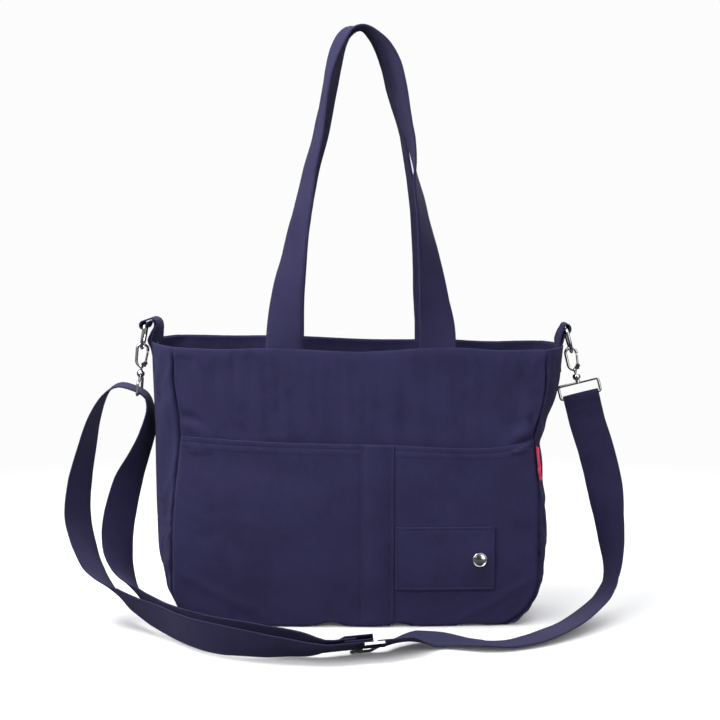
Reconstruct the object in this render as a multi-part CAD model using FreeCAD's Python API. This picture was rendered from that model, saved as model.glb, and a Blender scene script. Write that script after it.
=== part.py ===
import FreeCAD, Part
import math
import os

# Tote-style diaper bag: cloth shell, open top, full-width front pocket, two carry handles and a clip-on
# shoulder strap. Millimetres. Origin at the middle of the base on the floor, +X to the bag's right hand
# seen from the front, the front faces -Y, +Z up.

V = FreeCAD.Vector

# ---- cloth and shell sizes ----
rim_z = 288.0
outer_cloth = 2.0
tail_in = 2.3
tail_out = 4.1
facing_in = 4.4
facing_out = 5.4
facing_low_z = 250.0
facing_cap = 1.4
lining_in = 5.6
lining_out = 6.6
lining_top_z = 262.0
corner_r_left = 44.0
corner_r_right = 52.0
board_low_z = 2.3
board_top_z = 5.0
low_levels = (0, 1, 3, 7, 13, 22, 34)
high_levels = (46, 60, 80, 110, 150, 189, 206, 220, 240, 258, 288)

# seam and bulge tables: (height, value)
left_seam = ((0, 195), (80, 195), (110, 194), (150, 190.5), (189, 186), (206, 185), (220, 186), (240, 189.5),
             (258, 192), (288, 191))
right_seam = ((0, 190), (110, 190), (150, 189), (189, 185), (206, 185), (220, 190), (240, 195), (258, 196),
              (288, 196))
left_bulge = ((0, 9), (46, 14), (80, 17), (110, 19), (189, 23), (288, 25))
right_bulge = ((0, 7), (46, 12), (80, 14), (150, 13), (189, 10), (206, 10), (220, 11.5), (240, 14), (258, 17),
               (288, 21))
half_depth = ((0, 50), (60, 54), (150, 54), (220, 51), (288, 48))
front_camber = ((0, 3), (60, 6), (150, 7), (220, 6), (288, 6))
back_camber = ((0, 3), (60, 6), (150, 7), (220, 5), (288, 4))

# ---- front pocket, divider and flap ----
pocket_top_z = 192.0
pocket_low_z = 3.0
pocket_puff = 4.0
pocket_gap = 0.2
pocket_cloth = 1.6
pocket_side_margin = 3.0
divider_left_x = 3.5
divider_right_x = 37.5
divider_cloth = 1.6
flap_left_x = 39.0
flap_right_x = 141.5
flap_low_z = 41.0
flap_top_z = 107.0
flap_gap = 2.5
flap_cloth = 1.6
snap_x = 126.0
snap_z = 73.0
snap_cap_r = 7.8
opening_low_z = 54.0
opening_top_z = 94.0
opening_left_x = 56.0
opening_right_x = 106.0
label_width = 6.0
label_low_z = 155.0
label_top_z = 189.0

# ---- carry handles ----
handle_width = 38.0
handle_cloth = 2.6
handle_left_x = -75.5
handle_right_x = 82.5
tail_low_z = 236.0

# ---- D-rings and their cloth tabs ----
ring_wire_r = 1.75
ring_arc_r = 14.25
ring_leg = 11.0
ring_corner_r = 3.0
tab_width = 24.0
tab_cloth = 1.0

# ---- swivel clasps ----
hook_wire_r = 1.6
hook_arc_r = 5.65
hook_neck = 24.0
gate_pivot_across = 4.0
gate_pivot_down = 20.3
gate_length = 12.0
base_bar_down = 52.0
base_loop_width = 46.0
base_wire_r = 1.5

# ---- shoulder strap ----
strap_width = 38.0
strap_cloth = 1.6


def at_height(table, z):
    # straight-line reading of a (height, value) table
    if z <= table[0][0]:
        return float(table[0][1])
    for (z0, v0), (z1, v1) in zip(table, table[1:]):
        if z <= z1:
            return v0 + (v1 - v0) * (z - z0) / (z1 - z0)
    return float(table[-1][1])


def seam_x(table, corner_r, z, inset):
    # half-width at the front seam, with the rounded bottom corner
    if z >= corner_r:
        return at_height(table, z) - inset
    reach = max((corner_r - inset) ** 2 - (corner_r - z) ** 2, 0.0)
    return at_height(table, z) - corner_r + math.sqrt(reach)


def spline_edge(points):
    curve = Part.BSplineCurve()
    curve.interpolate(points)
    return curve.toShape()


def section(z, inset, puff):
    # one horizontal cut of the bag: four bowed edges that meet at the four upright seams
    left = -seam_x(left_seam, corner_r_left, z, inset)
    right = seam_x(right_seam, corner_r_right, z, inset)
    seam_y = at_height(half_depth, z) - inset
    middle = 0.5 * (left + right)
    half = 0.5 * (right - left)
    front_bow = at_height(front_camber, z) + puff
    back_bow = at_height(back_camber, z)
    fade = min(1.0, 0.45 + z / 60.0)
    left_bow = at_height(left_bulge, z) * fade
    right_bow = at_height(right_bulge, z) * fade
    shares = (-1.0, -0.72, -0.36, 0.0, 0.36, 0.72, 1.0)
    front = [V(middle + half * s, -seam_y - front_bow * (1 - s * s), z) for s in shares]
    rightside = [V(right + right_bow * (1 - s * s), seam_y * s, z) for s in shares]
    back = [V(middle - half * s, seam_y + back_bow * (1 - s * s), z) for s in shares]
    leftside = [V(left - left_bow * (1 - s * s), -seam_y * s, z) for s in shares]
    return Part.Wire([spline_edge(side) for side in (front, rightside, back, leftside)])


def bag_form(inset, puff, low_z, top_z):
    # solid bag shape pulled in by the inset, from low_z (never under the inset) to top_z
    low = max(low_z, inset)
    levels = [inset + z * (high_levels[0] - inset) / high_levels[0] for z in low_levels]
    levels += high_levels
    levels = [low] + [z for z in levels if low + 0.5 < z < top_z - 0.5] + [top_z]
    return Part.makeLoft([section(z, inset, puff) for z in levels], True, True)


def block(x0, x1, y0, y1, z0, z1):
    return Part.makeBox(x1 - x0, y1 - y0, z1 - z0, V(x0, y0, z0))


def depth_wedge(sign, inward, margin):
    # everything in front of (sign -1) or behind (sign +1) the ruled line of the upright seams
    low, top = at_height(half_depth, 0) - inward, at_height(half_depth, rim_z) - inward
    points = [V(-260, sign * low, -2)]
    for z in (0, 60, 150, 220, rim_z):
        points.append(V(-260, sign * (at_height(half_depth, z) - inward), z))
    points.append(V(-260, sign * top, rim_z + 6))
    points.append(V(-260, sign * margin, rim_z + 6))
    points.append(V(-260, sign * margin, -2))
    return Part.Face(Part.makePolygon(points + [points[0]])).extrude(V(520, 0, 0))


def save(name, shape):
    shape.exportStep("parts/" + name + ".step")


def unit(v):
    return v * (1.0 / v.Length)


def square_to(direction, way):
    # the part of direction that is square to way
    flat = direction - way * direction.dot(way)
    return unit(flat)


def strip(stations, width, cloth):
    # a flat band of cloth along stations (centre, edge direction), as a solid with ruled sides
    wires = []
    count = len(stations)
    for i, (centre, edge) in enumerate(stations):
        before = stations[max(i - 1, 0)][0]
        after = stations[min(i + 1, count - 1)][0]
        way = unit(after - before)
        across = square_to(edge, way)
        normal = way.cross(across)
        a = across * (0.5 * width)
        n = normal * (0.5 * cloth)
        corners = [centre - a - n, centre + a - n, centre + a + n, centre - a + n]
        wires.append(Part.makePolygon(corners + [corners[0]]))
    return Part.makeLoft(wires, True, True)


def smooth_stations(keys, step):
    # finer stations along a curve through the key stations; each key is (x, y, z, ex, ey, ez)
    points = [V(*k[:3]) for k in keys]
    edges = [V(*k[3:]) for k in keys]
    out = []
    for i in range(len(points) - 1):
        p0 = points[max(i - 1, 0)]
        p1, p2 = points[i], points[i + 1]
        p3 = points[min(i + 2, len(points) - 1)]
        span = (p2 - p1).Length
        count = max(1, int(round(span / step)))
        m1 = (p2 - p0) * (span / max((p2 - p0).Length, 1e-6))
        m2 = (p3 - p1) * (span / max((p3 - p1).Length, 1e-6))
        for k in range(count):
            t = k / count
            h00 = 2 * t ** 3 - 3 * t ** 2 + 1
            h10 = t ** 3 - 2 * t ** 2 + t
            h01 = -2 * t ** 3 + 3 * t ** 2
            h11 = t ** 3 - t ** 2
            spot = p1 * h00 + m1 * h10 + p2 * h01 + m2 * h11
            out.append((spot, edges[i] * (1 - t) + edges[i + 1] * t))
    out.append((points[-1], edges[-1]))
    return out


def rod(a, b, r):
    return Part.makeCylinder(r, (b - a).Length, a, b - a)


def tube_along(points, r, closed):
    # round wire through straight runs with ball corners
    pairs = list(zip(points, points[1:]))
    if closed:
        pairs.append((points[-1], points[0]))
    body = None
    for a, b in pairs:
        piece = rod(a, b, r).fuse(Part.makeSphere(r, a))
        body = piece if body is None else body.fuse(piece)
    if not closed:
        body = body.fuse(Part.makeSphere(r, points[-1]))
    return body


def wire_sweep(path, r, closed):
    # round wire swept along a smooth path wire
    start = path.Edges[0].valueAt(path.Edges[0].FirstParameter)
    heading = path.Edges[0].tangentAt(path.Edges[0].FirstParameter)
    ring = Part.Wire([Part.makeCircle(r, start, heading)])
    swept = path.makePipeShell([ring], True, False)
    return swept if swept.ShapeType == "Solid" else Part.Solid(swept)


os.makedirs("parts", exist_ok=True)

# ================= cloth shell =================
outer = bag_form(0.0, 0.0, 0.0, rim_z)
hollow = bag_form(outer_cloth, 0.0, outer_cloth, rim_z + 4)
shell = outer.cut(hollow)
front_zone = depth_wedge(-1, outer_cloth, 120)
back_zone = depth_wedge(1, outer_cloth, 120)
front_panel = shell.common(front_zone)
back_panel = shell.common(back_zone)
gusset_band = shell.cut(front_zone).cut(back_zone)

# ================= handles' sewn ends, inside the rim =================
tail_layer = bag_form(tail_in, 0.0, 200, rim_z + 0.8).cut(bag_form(tail_out, 0.0, 190, rim_z + 6))
handle_xs = (handle_left_x, handle_right_x)
tails = {}
for side, y0, y1 in (("front", -80, 0), ("back", 0, 80)):
    ends = [tail_layer.common(block(x - 0.5 * handle_width, x + 0.5 * handle_width, y0, y1, tail_low_z, 300))
            for x in handle_xs]
    tails[side] = Part.makeCompound(ends)

# ================= rim facing =================
facing = bag_form(facing_in, 0.0, 200, rim_z - facing_cap).cut(bag_form(facing_out, 0.0, 190, rim_z + 6))
facing = facing.common(block(-260, 260, -90, 90, facing_low_z, rim_z))
cap_ring = bag_form(outer_cloth, 0.0, 240, rim_z).cut(bag_form(facing_out, 0.0, 230, rim_z + 6))
cap_ring = cap_ring.common(block(-260, 260, -90, 90, rim_z - facing_cap, rim_z))
facing = facing.fuse(cap_ring)
for x in handle_xs:
    for y0, y1 in ((-80, 0), (0, 80)):
        slot = bag_form(outer_cloth, 0.0, 240, rim_z + 3).cut(bag_form(facing_in - 0.05, 0.0, 230, rim_z + 6))
        facing = facing.cut(slot.common(block(x - 0.5 * handle_width - 0.3, x + 0.5 * handle_width + 0.3,
                                              y0, y1, 280, 300)))
for sign in (-1, 1):
    slot = bag_form(outer_cloth, 0.0, 240, rim_z + 3).cut(bag_form(facing_in - 0.05, 0.0, 230, rim_z + 6))
    x0, x1 = sorted((sign * 150, sign * 260))
    facing = facing.cut(slot.common(block(x0, x1, -0.5 * tab_width - 0.3, 0.5 * tab_width + 0.3, 280, 300)))

# ================= lining and base board =================
lining = bag_form(lining_in, 0.0, lining_in, lining_top_z).cut(bag_form(lining_out, 0.0, lining_out, rim_z))
board = block(-146, 134, -43, 43, board_low_z, board_top_z)
board = board.makeFillet(12, [e for e in board.Edges if abs(e.Length - (board_top_z - board_low_z)) < 0.01])

# ================= front pocket, divider and flap =================
def front_layer(near, far, low_z, top_z):
    # curved sheet in front of the puffed pocket, from near to far out of the bag form
    sheet = bag_form(-far, pocket_puff, 0.0, top_z).cut(bag_form(-near, pocket_puff, 0.0, top_z + 5))
    return sheet.common(block(-260, 260, -120, -30, low_z, top_z))


def rounded_slot(x0, x1, z0, z1, r):
    slot = block(x0, x1, -120, -30, z0, z1)
    return slot.makeFillet(r, [e for e in slot.Edges if abs(e.Length - 90) < 0.01])


pocket_face = pocket_gap + pocket_cloth
pocket_left_x = -185.0 + pocket_side_margin
pocket_right_x = 184.0 - pocket_side_margin
sheet = front_layer(pocket_gap, pocket_face, pocket_low_z, pocket_top_z)
outline = block(pocket_left_x, pocket_right_x, -120, -30, pocket_low_z, pocket_top_z)
outline = outline.makeFillet(46, [e for e in outline.Edges if abs(e.Length - 90) < 0.01
                                  and e.BoundBox.ZMax < pocket_low_z + 1])
pocket = sheet.common(outline)
pocket = pocket.cut(rounded_slot(opening_left_x, opening_right_x, opening_low_z, opening_top_z, 8))
divider = front_layer(pocket_face + 0.05, pocket_face + divider_cloth, pocket_low_z + 1, pocket_top_z)
divider = divider.common(block(divider_left_x, divider_right_x, -120, -30, 0, 250))
flap_near = pocket_face + flap_gap
flap = front_layer(flap_near, flap_near + flap_cloth, flap_low_z, flap_top_z)
flap = flap.common(block(flap_left_x, flap_right_x, -120, -30, flap_low_z, flap_top_z))

# snap fastener, stacked along the cloth's own normal from the pocket's outer face
snap_middle = 0.5 * (seam_x(right_seam, corner_r_right, snap_z, 0) - seam_x(left_seam, corner_r_left, snap_z, 0))
snap_half = 0.5 * (seam_x(right_seam, corner_r_right, snap_z, 0) + seam_x(left_seam, corner_r_left, snap_z, 0))
snap_share = (snap_x - snap_middle) / snap_half
snap_bow = at_height(front_camber, snap_z) + pocket_puff
snap_y = -at_height(half_depth, snap_z) - pocket_face - snap_bow * (1 - snap_share ** 2)
snap_out = unit(V(2 * snap_bow * snap_share / snap_half, -1, 0))
snap_foot = V(snap_x, snap_y, snap_z)


def disc(r, start, stop):
    return Part.makeCylinder(r, stop - start, snap_foot + snap_out * start, snap_out)


flap_face = flap_gap + flap_cloth
pocket = pocket.cut(disc(1.4, -4, 3))
flap = flap.cut(disc(1.7, 0, 8))
dome = Part.makeSphere(17, snap_foot + snap_out * (flap_face + 2.1 - 17))
snap_cap = disc(snap_cap_r, flap_face + 0.4, flap_face + 2.1).common(dome)
rim_ring = Part.makeTorus(snap_cap_r - 0.9, 0.7, snap_foot + snap_out * (flap_face + 1.15), snap_out)
snap_cap = snap_cap.fuse(rim_ring).fuse(disc(1.5, 2.3, flap_face + 0.6))
snap_socket = disc(5.2, 0.95, 2.3).cut(disc(2.3, 0.5, 2.1))
snap_stud = disc(5.2, 0.25, 0.85).fuse(disc(2.0, 0.5, 1.9))
snap_post = disc(5.0, -pocket_cloth - 0.95, -pocket_cloth - 0.15).fuse(disc(1.2, -pocket_cloth - 0.5, 0.1))

side_label = block(184.6, 184.6 + label_width, -55.8, -54.8, label_low_z, label_top_z)

# ================= carry handles =================
# each key: centre x, y, z and the turn of the band about upright, in degrees, where 0 faces the front
front_left_leg = ((-75.5, -50, 290, 0), (-75, -48, 312, 10), (-73, -45, 338, 24), (-66, -40, 383, 48),
                  (-58, -36, 427, 62), (-49, -32, 472, 69), (-41, -28, 507, 73), (-36, -26, 535, 76),
                  (-32, -24, 560, 78), (-27, -22, 583, 77), (-19, -20, 604, 72), (-9, -19.5, 617, 66))
front_right_leg = ((82.5, -50, 290, 0), (82, -48, 312, 16), (79, -45, 338, 34), (73.5, -40, 383, 55),
                   (67.5, -36, 427, 71), (62, -32, 465, 87), (58, -29, 495, 100), (53, -27, 522, 107),
                   (47, -24, 558, 112), (40, -22, 583, 115), (29, -20, 604, 118), (16, -19.5, 617, 120))
back_left_leg = ((-77, 48, 290, 0), (-76.5, 47, 312, 12), (-74.5, 45, 338, 24), (-67.5, 41, 383, 48),
                 (-59, 37, 427, 60), (-49, 33, 472, 66), (-40, 30, 507, 69), (-33, 28, 538, 70),
                 (-28, 26, 560, 71), (-22, 24, 583, 74), (-13, 22, 603, 80), (-4, 21, 613, 86))
back_right_leg = ((80.5, 48, 290, 0), (80, 47, 312, 12), (77.5, 45, 338, 24), (72, 41, 383, 48),
                  (65, 37, 427, 60), (56, 33, 472, 66), (47, 30, 507, 69), (40, 28, 538, 70),
                  (35, 26, 560, 71), (29, 24, 583, 74), (20, 22, 603, 80), (11, 21, 613, 86))
front_top = (4, -19.5, 621, 60)
back_top = (3.5, 21, 616, 90)


def handle_keys(left_leg, top, right_leg, sign):
    # sign -1 for the front handle, +1 for the back; the inner edge of each leg meets over the top
    keys = []
    for x, y, z, turn in left_leg + (top,):
        a = math.radians(turn)
        keys.append((x, y, z, math.cos(a), sign * math.sin(a), 0))
    for x, y, z, turn in reversed(right_leg):
        a = math.radians(turn)
        keys.append((x, y, z, -math.cos(a), sign * math.sin(a), 0))
    return keys


handle_front = strip(smooth_stations(handle_keys(front_left_leg, front_top, front_right_leg, -1), 16),
                     handle_width, handle_cloth)
handle_back = strip(smooth_stations(handle_keys(back_left_leg, back_top, back_right_leg, 1), 16),
                    handle_width, handle_cloth)


# ================= D-rings and tabs =================
def tilted(x, z, tilt):
    # frame at (x, 0, z) whose down direction leans out by tilt degrees towards +X
    a = math.radians(tilt)
    return V(x, 0, z), V(math.sin(a), 0, -math.cos(a)), V(math.cos(a), 0, math.sin(a))


ring_places = {"left": tilted(-223.0, 311.5, -10), "right": tilted(219.0, 307.0, 15)}
clasp_tilt = {"left": -5.0, "right": 14.0}
hook_shift = {"left": 0.6, "right": -0.8}


def d_ring(place):
    bar, down, out = place
    centre = bar + down * ring_leg
    fwd = V(0, -1, 0)
    corner = ring_corner_r
    a = bar + fwd * (ring_arc_r - corner)
    b = bar - fwd * (ring_arc_r - corner)
    half = math.sqrt(0.5)
    ac = bar + fwd * (ring_arc_r - corner * (1 - half)) + down * (corner * (1 - half))
    bc = bar - fwd * (ring_arc_r - corner * (1 - half)) + down * (corner * (1 - half))
    a2 = bar + fwd * ring_arc_r + down * corner
    b2 = bar - fwd * ring_arc_r + down * corner
    a3 = centre + fwd * ring_arc_r
    b3 = centre - fwd * ring_arc_r
    edges = [Part.makeLine(b, a), Part.Arc(a, ac, a2).toShape(), Part.makeLine(a2, a3),
             Part.Arc(a3, centre + down * ring_arc_r, b3).toShape(), Part.makeLine(b3, b2),
             Part.Arc(b2, bc, b).toShape()]
    return wire_sweep(Part.Wire(edges), ring_wire_r, True)


def ring_tab(side, sign):
    # folded cloth loop round the ring's bar, both layers running down between outer cloth and facing
    bar = ring_places[side][0]
    side_x = at_height(left_bulge if sign < 0 else right_bulge, rim_z)
    side_x += at_height(left_seam if sign < 0 else right_seam, rim_z)
    mid_x = sign * (side_x - 0.5 * (tail_in + tail_out))
    wrap = ring_wire_r + 0.25 + 0.5 * tab_cloth
    foot_z = rim_z + 1.5
    e = (0, -1, 0)
    inner = mid_x - sign * 0.52 * tab_cloth
    outer_x = mid_x + sign * 0.52 * tab_cloth
    keys = [(inner, 0, rim_z + 0.2) + e, (inner, 0, foot_z) + e, (inner + sign * 1.0, 0, foot_z + 9) + e]
    for angle in (175, 130, 90, 45, 0, -45, -80):
        a = math.radians(angle)
        keys.append((bar.x + sign * wrap * math.cos(a), 0, bar.z + wrap * math.sin(a)) + e)
    keys += [(outer_x + sign * 2.6, 0, foot_z + 10) + e, (outer_x, 0, foot_z) + e, (outer_x, 0, rim_z + 0.2) + e]
    stations = [(V(*k[:3]), V(*k[3:])) for k in keys]
    loop = strip(stations, tab_width, tab_cloth)
    x0, x1 = sorted((sign * 150, sign * 260))
    root = tail_layer.common(block(x0, x1, -0.5 * tab_width, 0.5 * tab_width, 262, rim_z + 1.5))
    return loop.fuse(root)


rings = {side: d_ring(ring_places[side]) for side in ring_places}
tabs = {"left": ring_tab("left", -1), "right": ring_tab("right", 1)}


# ================= swivel clasps =================
# local frame: z = 0 at the middle of the wire at the hook's crown, -z down the clasp, x across the hook
def hook_body():
    r = hook_arc_r
    side = -r
    nose = V(r, 0, -6.4)
    a = Part.Arc(V(r, 0, -r), V(0, 0, 0), V(side, 0, -r)).toShape()
    lower = Part.Arc(V(side, 0, -17.0), V(-3.6, 0, -22.2), V(0, 0, -hook_neck)).toShape()
    path = Part.Wire([Part.makeLine(nose, V(r, 0, -r)), a, Part.makeLine(V(side, 0, -r), V(side, 0, -17.0)), lower])
    body = wire_sweep(path, hook_wire_r, False).fuse(Part.makeSphere(hook_wire_r, nose))
    body = body.fuse(rod(V(0, 0, -hook_neck + 0.5), V(0, 0, -32.6), 1.5))
    body = body.fuse(Part.makeSphere(2.4, V(0, 0, -hook_neck)))
    body = body.fuse(rod(V(0, 0, -30.9), V(0, 0, -32.6), 2.4))
    cheek_x, cheek_z = gate_pivot_across, -gate_pivot_down
    cheeks = rod(V(cheek_x, -2.3, cheek_z), V(cheek_x, 2.3, cheek_z), 2.2)
    cheeks = cheeks.fuse(Part.makeBox(4.6, 4.6, 4.0, V(0.2, -2.3, cheek_z - 3.6)))
    cheeks = cheeks.cut(rod(V(cheek_x, -1.2, cheek_z), V(cheek_x, 1.2, cheek_z), 2.6))
    cheeks = cheeks.cut(Part.makeBox(6, 2.4, 5, V(cheek_x - 2.0, -1.2, cheek_z - 0.6)))
    body = body.fuse(cheeks)
    return body.cut(rod(V(cheek_x, -4, cheek_z), V(cheek_x, 4, cheek_z), 0.7))


def hook_gate():
    pivot = V(gate_pivot_across, 0, -gate_pivot_down)
    lean = unit(V(hook_arc_r - gate_pivot_across, 0, gate_length))
    bar = rod(pivot, pivot + lean * gate_length, 1.15)
    knuckle = rod(pivot + V(0, -1.1, 0), pivot + V(0, 1.1, 0), 1.9)
    return bar.fuse(knuckle).cut(rod(pivot + V(0, -3, 0), pivot + V(0, 3, 0), 0.75))


def gate_pin():
    pivot = V(gate_pivot_across, 0, -gate_pivot_down)
    pin = rod(pivot + V(0, -2.7, 0), pivot + V(0, 2.7, 0), 0.7)
    for y in (-2.85, 2.35):
        pin = pin.fuse(rod(pivot + V(0, y, 0), pivot + V(0, y + 0.5, 0), 1.2))
    return pin


def clasp_base(along):
    # swivel eye and strap loop; along is the direction of the strap bar
    eye = Part.makeSphere(4.2, V(0, 0, -31.5)).cut(rod(V(0, 0, -25), V(0, 0, -32), 1.56))
    eye = eye.cut(rod(V(0, 0, -30.6), V(0, 0, -32.9), 2.5))
    eye = eye.cut(Part.makeBox(12, 12, 4, V(-6, -6, -28.2)))
    half = 0.5 * base_loop_width - base_wire_r
    top, low = -38.0, -base_bar_down
    c = 2.2
    spots = ((-half + c, top), (half - c, top), (half - 0.6, top - 0.6), (half, top - c), (half, low + c),
             (half - 0.6, low + 0.6), (half - c, low), (-half + c, low), (-half + 0.6, low + 0.6),
             (-half, low + c), (-half, top - c), (-half + 0.6, top - 0.6))
    loop = tube_along([along * u + V(0, 0, z) for u, z in spots], base_wire_r, True)
    return eye.fuse(rod(V(0, 0, -34.5), V(0, 0, -38.2), 2.2)).fuse(loop)


clasp_parts = {}
clasp_bar = {}
clasp_down = {}
for side in ("left", "right"):
    bar, down, out = ring_places[side]
    wire_centre = bar + down * (ring_leg + ring_arc_r)
    tilt = math.radians(clasp_tilt[side])
    clasp_down[side] = V(math.sin(tilt), 0, -math.cos(tilt))
    crown = wire_centre - clasp_down[side] * 4.2 + V(hook_shift[side], 0, 0)
    clasp_bar[side] = crown + clasp_down[side] * base_bar_down
    turn = FreeCAD.Rotation(V(0, 1, 0), -clasp_tilt[side])
    place = FreeCAD.Placement(crown, turn)
    along = V(0, 1, 0) if side == "left" else V(1, 0, 0)
    made = {"hook": hook_body(), "gate": hook_gate(), "gate_pin": gate_pin(), "base": clasp_base(along)}
    for name, shape in made.items():
        shape.Placement = place
        clasp_parts[side + "_" + name] = shape

# ================= shoulder strap =================
wrap_r = base_wire_r + 0.25 + 0.5 * strap_cloth
slider_at = V(10, -180, 13.4)
slider_way = unit(V(0.93, 0.36, 0))
slider_edge = square_to(V(0.33, -0.85, 0.42), slider_way)
slider_up = slider_edge.cross(slider_way)


def key(point, edge):
    return (point.x, point.y, point.z, edge.x, edge.y, edge.z)


right_bar, right_down = clasp_bar["right"], clasp_down["right"]
right_edge = V(-right_down.z, 0, right_down.x)
fold = []
for drop, y in ((30, 0.95), (20, 0.95), (11, 1.0), (4, 2.3), (0, wrap_r)):
    fold.append(key(right_bar + right_down * drop + V(0, y, 0), right_edge))
for a in (45, 90, 135):
    spot = V(0, wrap_r * math.cos(math.radians(a)), 0) - right_down * (wrap_r * math.sin(math.radians(a)))
    fold.append(key(right_bar + spot, right_edge))
for drop, y in ((0, -wrap_r), (4, -2.3), (11, -1.0), (20, -0.95), (30, -0.95)):
    fold.append(key(right_bar + right_down * drop + V(0, y, 0), right_edge))
right_run = (
    (253, -1, 178, 0.96, -0.05, 0.28), (262, -1, 142, 0.96, -0.15, 0.22), (267, -3, 108, 0.76, -0.64, 0.1),
    (270, -6, 80, 0.6, -0.8, 0), (271, -10, 58, 0.38, -0.92, 0), (268, -15, 41, 0.2, -0.97, 0.05),
    (260, -24, 28, 0.35, -0.9, 0.25), (246, -41, 18, 0.65, -0.68, 0.32), (226, -68, 11, 0.8, -0.52, 0.26),
    (203, -96, 7, 0.78, -0.6, 0.18), (177, -121, 4, 0.6, -0.79, 0.1), (151, -137, 3, 0.3, -0.95, 0.06),
    (128, -142, 4.5, 0.03, -0.99, 0.12), (106, -135, 4.5, -0.1, -0.99, 0.04), (86, -130, 6, 0, -0.99, -0.12),
    (68, -136, 8, 0.08, -0.98, -0.14), (50, -152, 10.5, 0.2, -0.93, 0.16))
slider_run = [key(slider_at + slider_way * step, slider_edge) for step in (28, 10, -10, -28, -44)]
outer_run = (
    (-50, -197, 13.5, 0, -0.82, 0.57), (-68, -196, 15, 0.03, -0.76, 0.65), (-88, -195, 16.5, 0, -0.66, 0.75),
    (-111, -191, 18.5, -0.08, -0.54, 0.84), (-133, -183, 19.6, -0.15, -0.4, 0.9),
    (-153, -170, 20.2, -0.19, -0.35, 0.92), (-175, -145, 20.4, -0.15, -0.4, 0.9),
    (-197, -115, 22, -0.1, -0.5, 0.86), (-220, -88, 25, -0.08, -0.62, 0.78), (-242, -66, 32, -0.06, -0.8, 0.6),
    (-262, -50, 44, -0.12, -0.97, 0.2), (-277, -38, 59, -0.32, -0.94, 0), (-288, -26, 80, -0.5, -0.86, 0),
    (-296, -14, 110, -0.6, -0.8, 0), (-294, -6, 146, -0.54, -0.84, 0), (-285, -2, 190, -0.35, -0.93, 0),
    (-278, 0, 215, -0.22, -0.97, 0), (-270, 0, 233, -0.1, -1, 0), (-261, 0, 243.5, 0, -1, 0),
    (-251, 0, 247.3, 0, -1, 0), (-240.5, 0, 245.3, 0, -1, 0))
left_bar = clasp_bar["left"]
over_bar = [(left_bar.x + wrap_r * math.cos(math.radians(a)), 0, left_bar.z + wrap_r * math.sin(math.radians(a)),
             0, -1, 0) for a in (85, 60, 40)]
inner_run = (
    (-222.5, 0, 235, 0, -1, 0), (-219.5, 0, 221, -0.1, -1, 0), (-222, -1, 200, -0.35, -0.93, 0),
    (-232, -2, 173, -0.53, -0.85, 0), (-243, -3, 146, -0.74, -0.67, 0), (-252, -6, 112, -0.84, -0.54, 0),
    (-255, -9, 90, -0.82, -0.57, 0), (-254, -14, 71, -0.7, -0.7, 0), (-248, -22, 52, -0.45, -0.88, 0.1),
    (-238, -34, 38, -0.15, -0.95, 0.25), (-224, -53, 28.5, -0.08, -0.72, 0.68), (-205, -82, 23.5, -0.1, -0.54, 0.84),
    (-180, -115, 20.8, -0.15, -0.42, 0.9), (-150, -145, 20.6, -0.16, -0.4, 0.9), (-124, -162, 20.6, -0.1, -0.5, 0.86),
    (-98, -173, 20.5, -0.03, -0.6, 0.8), (-74, -182, 20, 0.05, -0.68, 0.73), (-52, -190, 19.4, 0.2, -0.78, 0.6))
lift = slider_up * 4.6
end_run = [key(slider_at + slider_way * step + lift, slider_edge) for step in (-45, -30, -18)]
strap_keys = fold + list(right_run) + slider_run + list(outer_run) + over_bar + list(inner_run) + end_run
shoulder_strap = strip(smooth_stations(strap_keys, 17), strap_width, strap_cloth)

# slider: flat frame under the running strap, with its middle bar raised over it
bar_r = 1.25
side_u = 21.9


def slider_spot(way, edge, up):
    return slider_at + slider_way * way + slider_edge * edge + slider_up * up


def centred_box(long, wide, low, high):
    return Part.makeBox(long, wide, high - low, V(-0.5 * long, -0.5 * wide, low))


frame_plate = centred_box(23.6, 46.4, -3.7, -1.3)
frame_plate = frame_plate.makeFillet(3.0, [e for e in frame_plate.Edges if abs(e.Length - 2.4) < 0.01])
frame_plate = frame_plate.cut(centred_box(18.4, 41.2, -5, 0))
for edge_u in (-side_u, side_u):
    post = Part.makeBox(4.0, 2.6, 9.2, V(-2.0, edge_u - 1.3, -3.0))
    frame_plate = frame_plate.fuse(post)
frame_plate = frame_plate.fuse(rod(V(0, -side_u, 4.6), V(0, side_u, 4.6), bar_r))
axes = FreeCAD.Matrix(slider_way.x, -slider_edge.x, slider_up.x, slider_at.x,
                      slider_way.y, -slider_edge.y, slider_up.y, slider_at.y,
                      slider_way.z, -slider_edge.z, slider_up.z, slider_at.z, 0, 0, 0, 1)
strap_slider = frame_plate.copy()
strap_slider.Placement = FreeCAD.Placement(axes)

# sewn end of the strap, folded round the slider's middle bar
loop_keys = [(-30, 2.25), (-8, 2.25), (0, 2.45), (1.5, 3.05), (2.15, 4.6), (1.5, 6.15), (0, 6.75), (-8, 6.95),
             (-30, 6.95)]
loop_stations = [(slider_spot(a, 0, b), slider_edge) for a, b in loop_keys]
slider_loop = strip(loop_stations, 38.0, 1.2)

# ================= write every piece =================
nodes = {
    "front_panel": front_panel, "back_panel": back_panel, "gusset_band": gusset_band, "rim_facing": facing,
    "lining": lining, "base_board": board, "front_pocket_panel": pocket, "pocket_divider": divider,
    "wipes_flap": flap, "snap_cap": snap_cap, "snap_socket": snap_socket, "snap_stud": snap_stud,
    "snap_post": snap_post, "side_label": side_label, "handle_front": handle_front, "handle_back": handle_back,
    "handle_front_ends": tails["front"], "handle_back_ends": tails["back"],
    "ring_tab_left": tabs["left"], "ring_tab_right": tabs["right"],
    "ring_left": rings["left"], "ring_right": rings["right"], "shoulder_strap": shoulder_strap,
    "strap_slider": strap_slider, "strap_slider_loop": slider_loop}
for name, shape in clasp_parts.items():
    nodes["clasp_" + name] = shape
for name, shape in nodes.items():
    save(name, shape)
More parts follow.
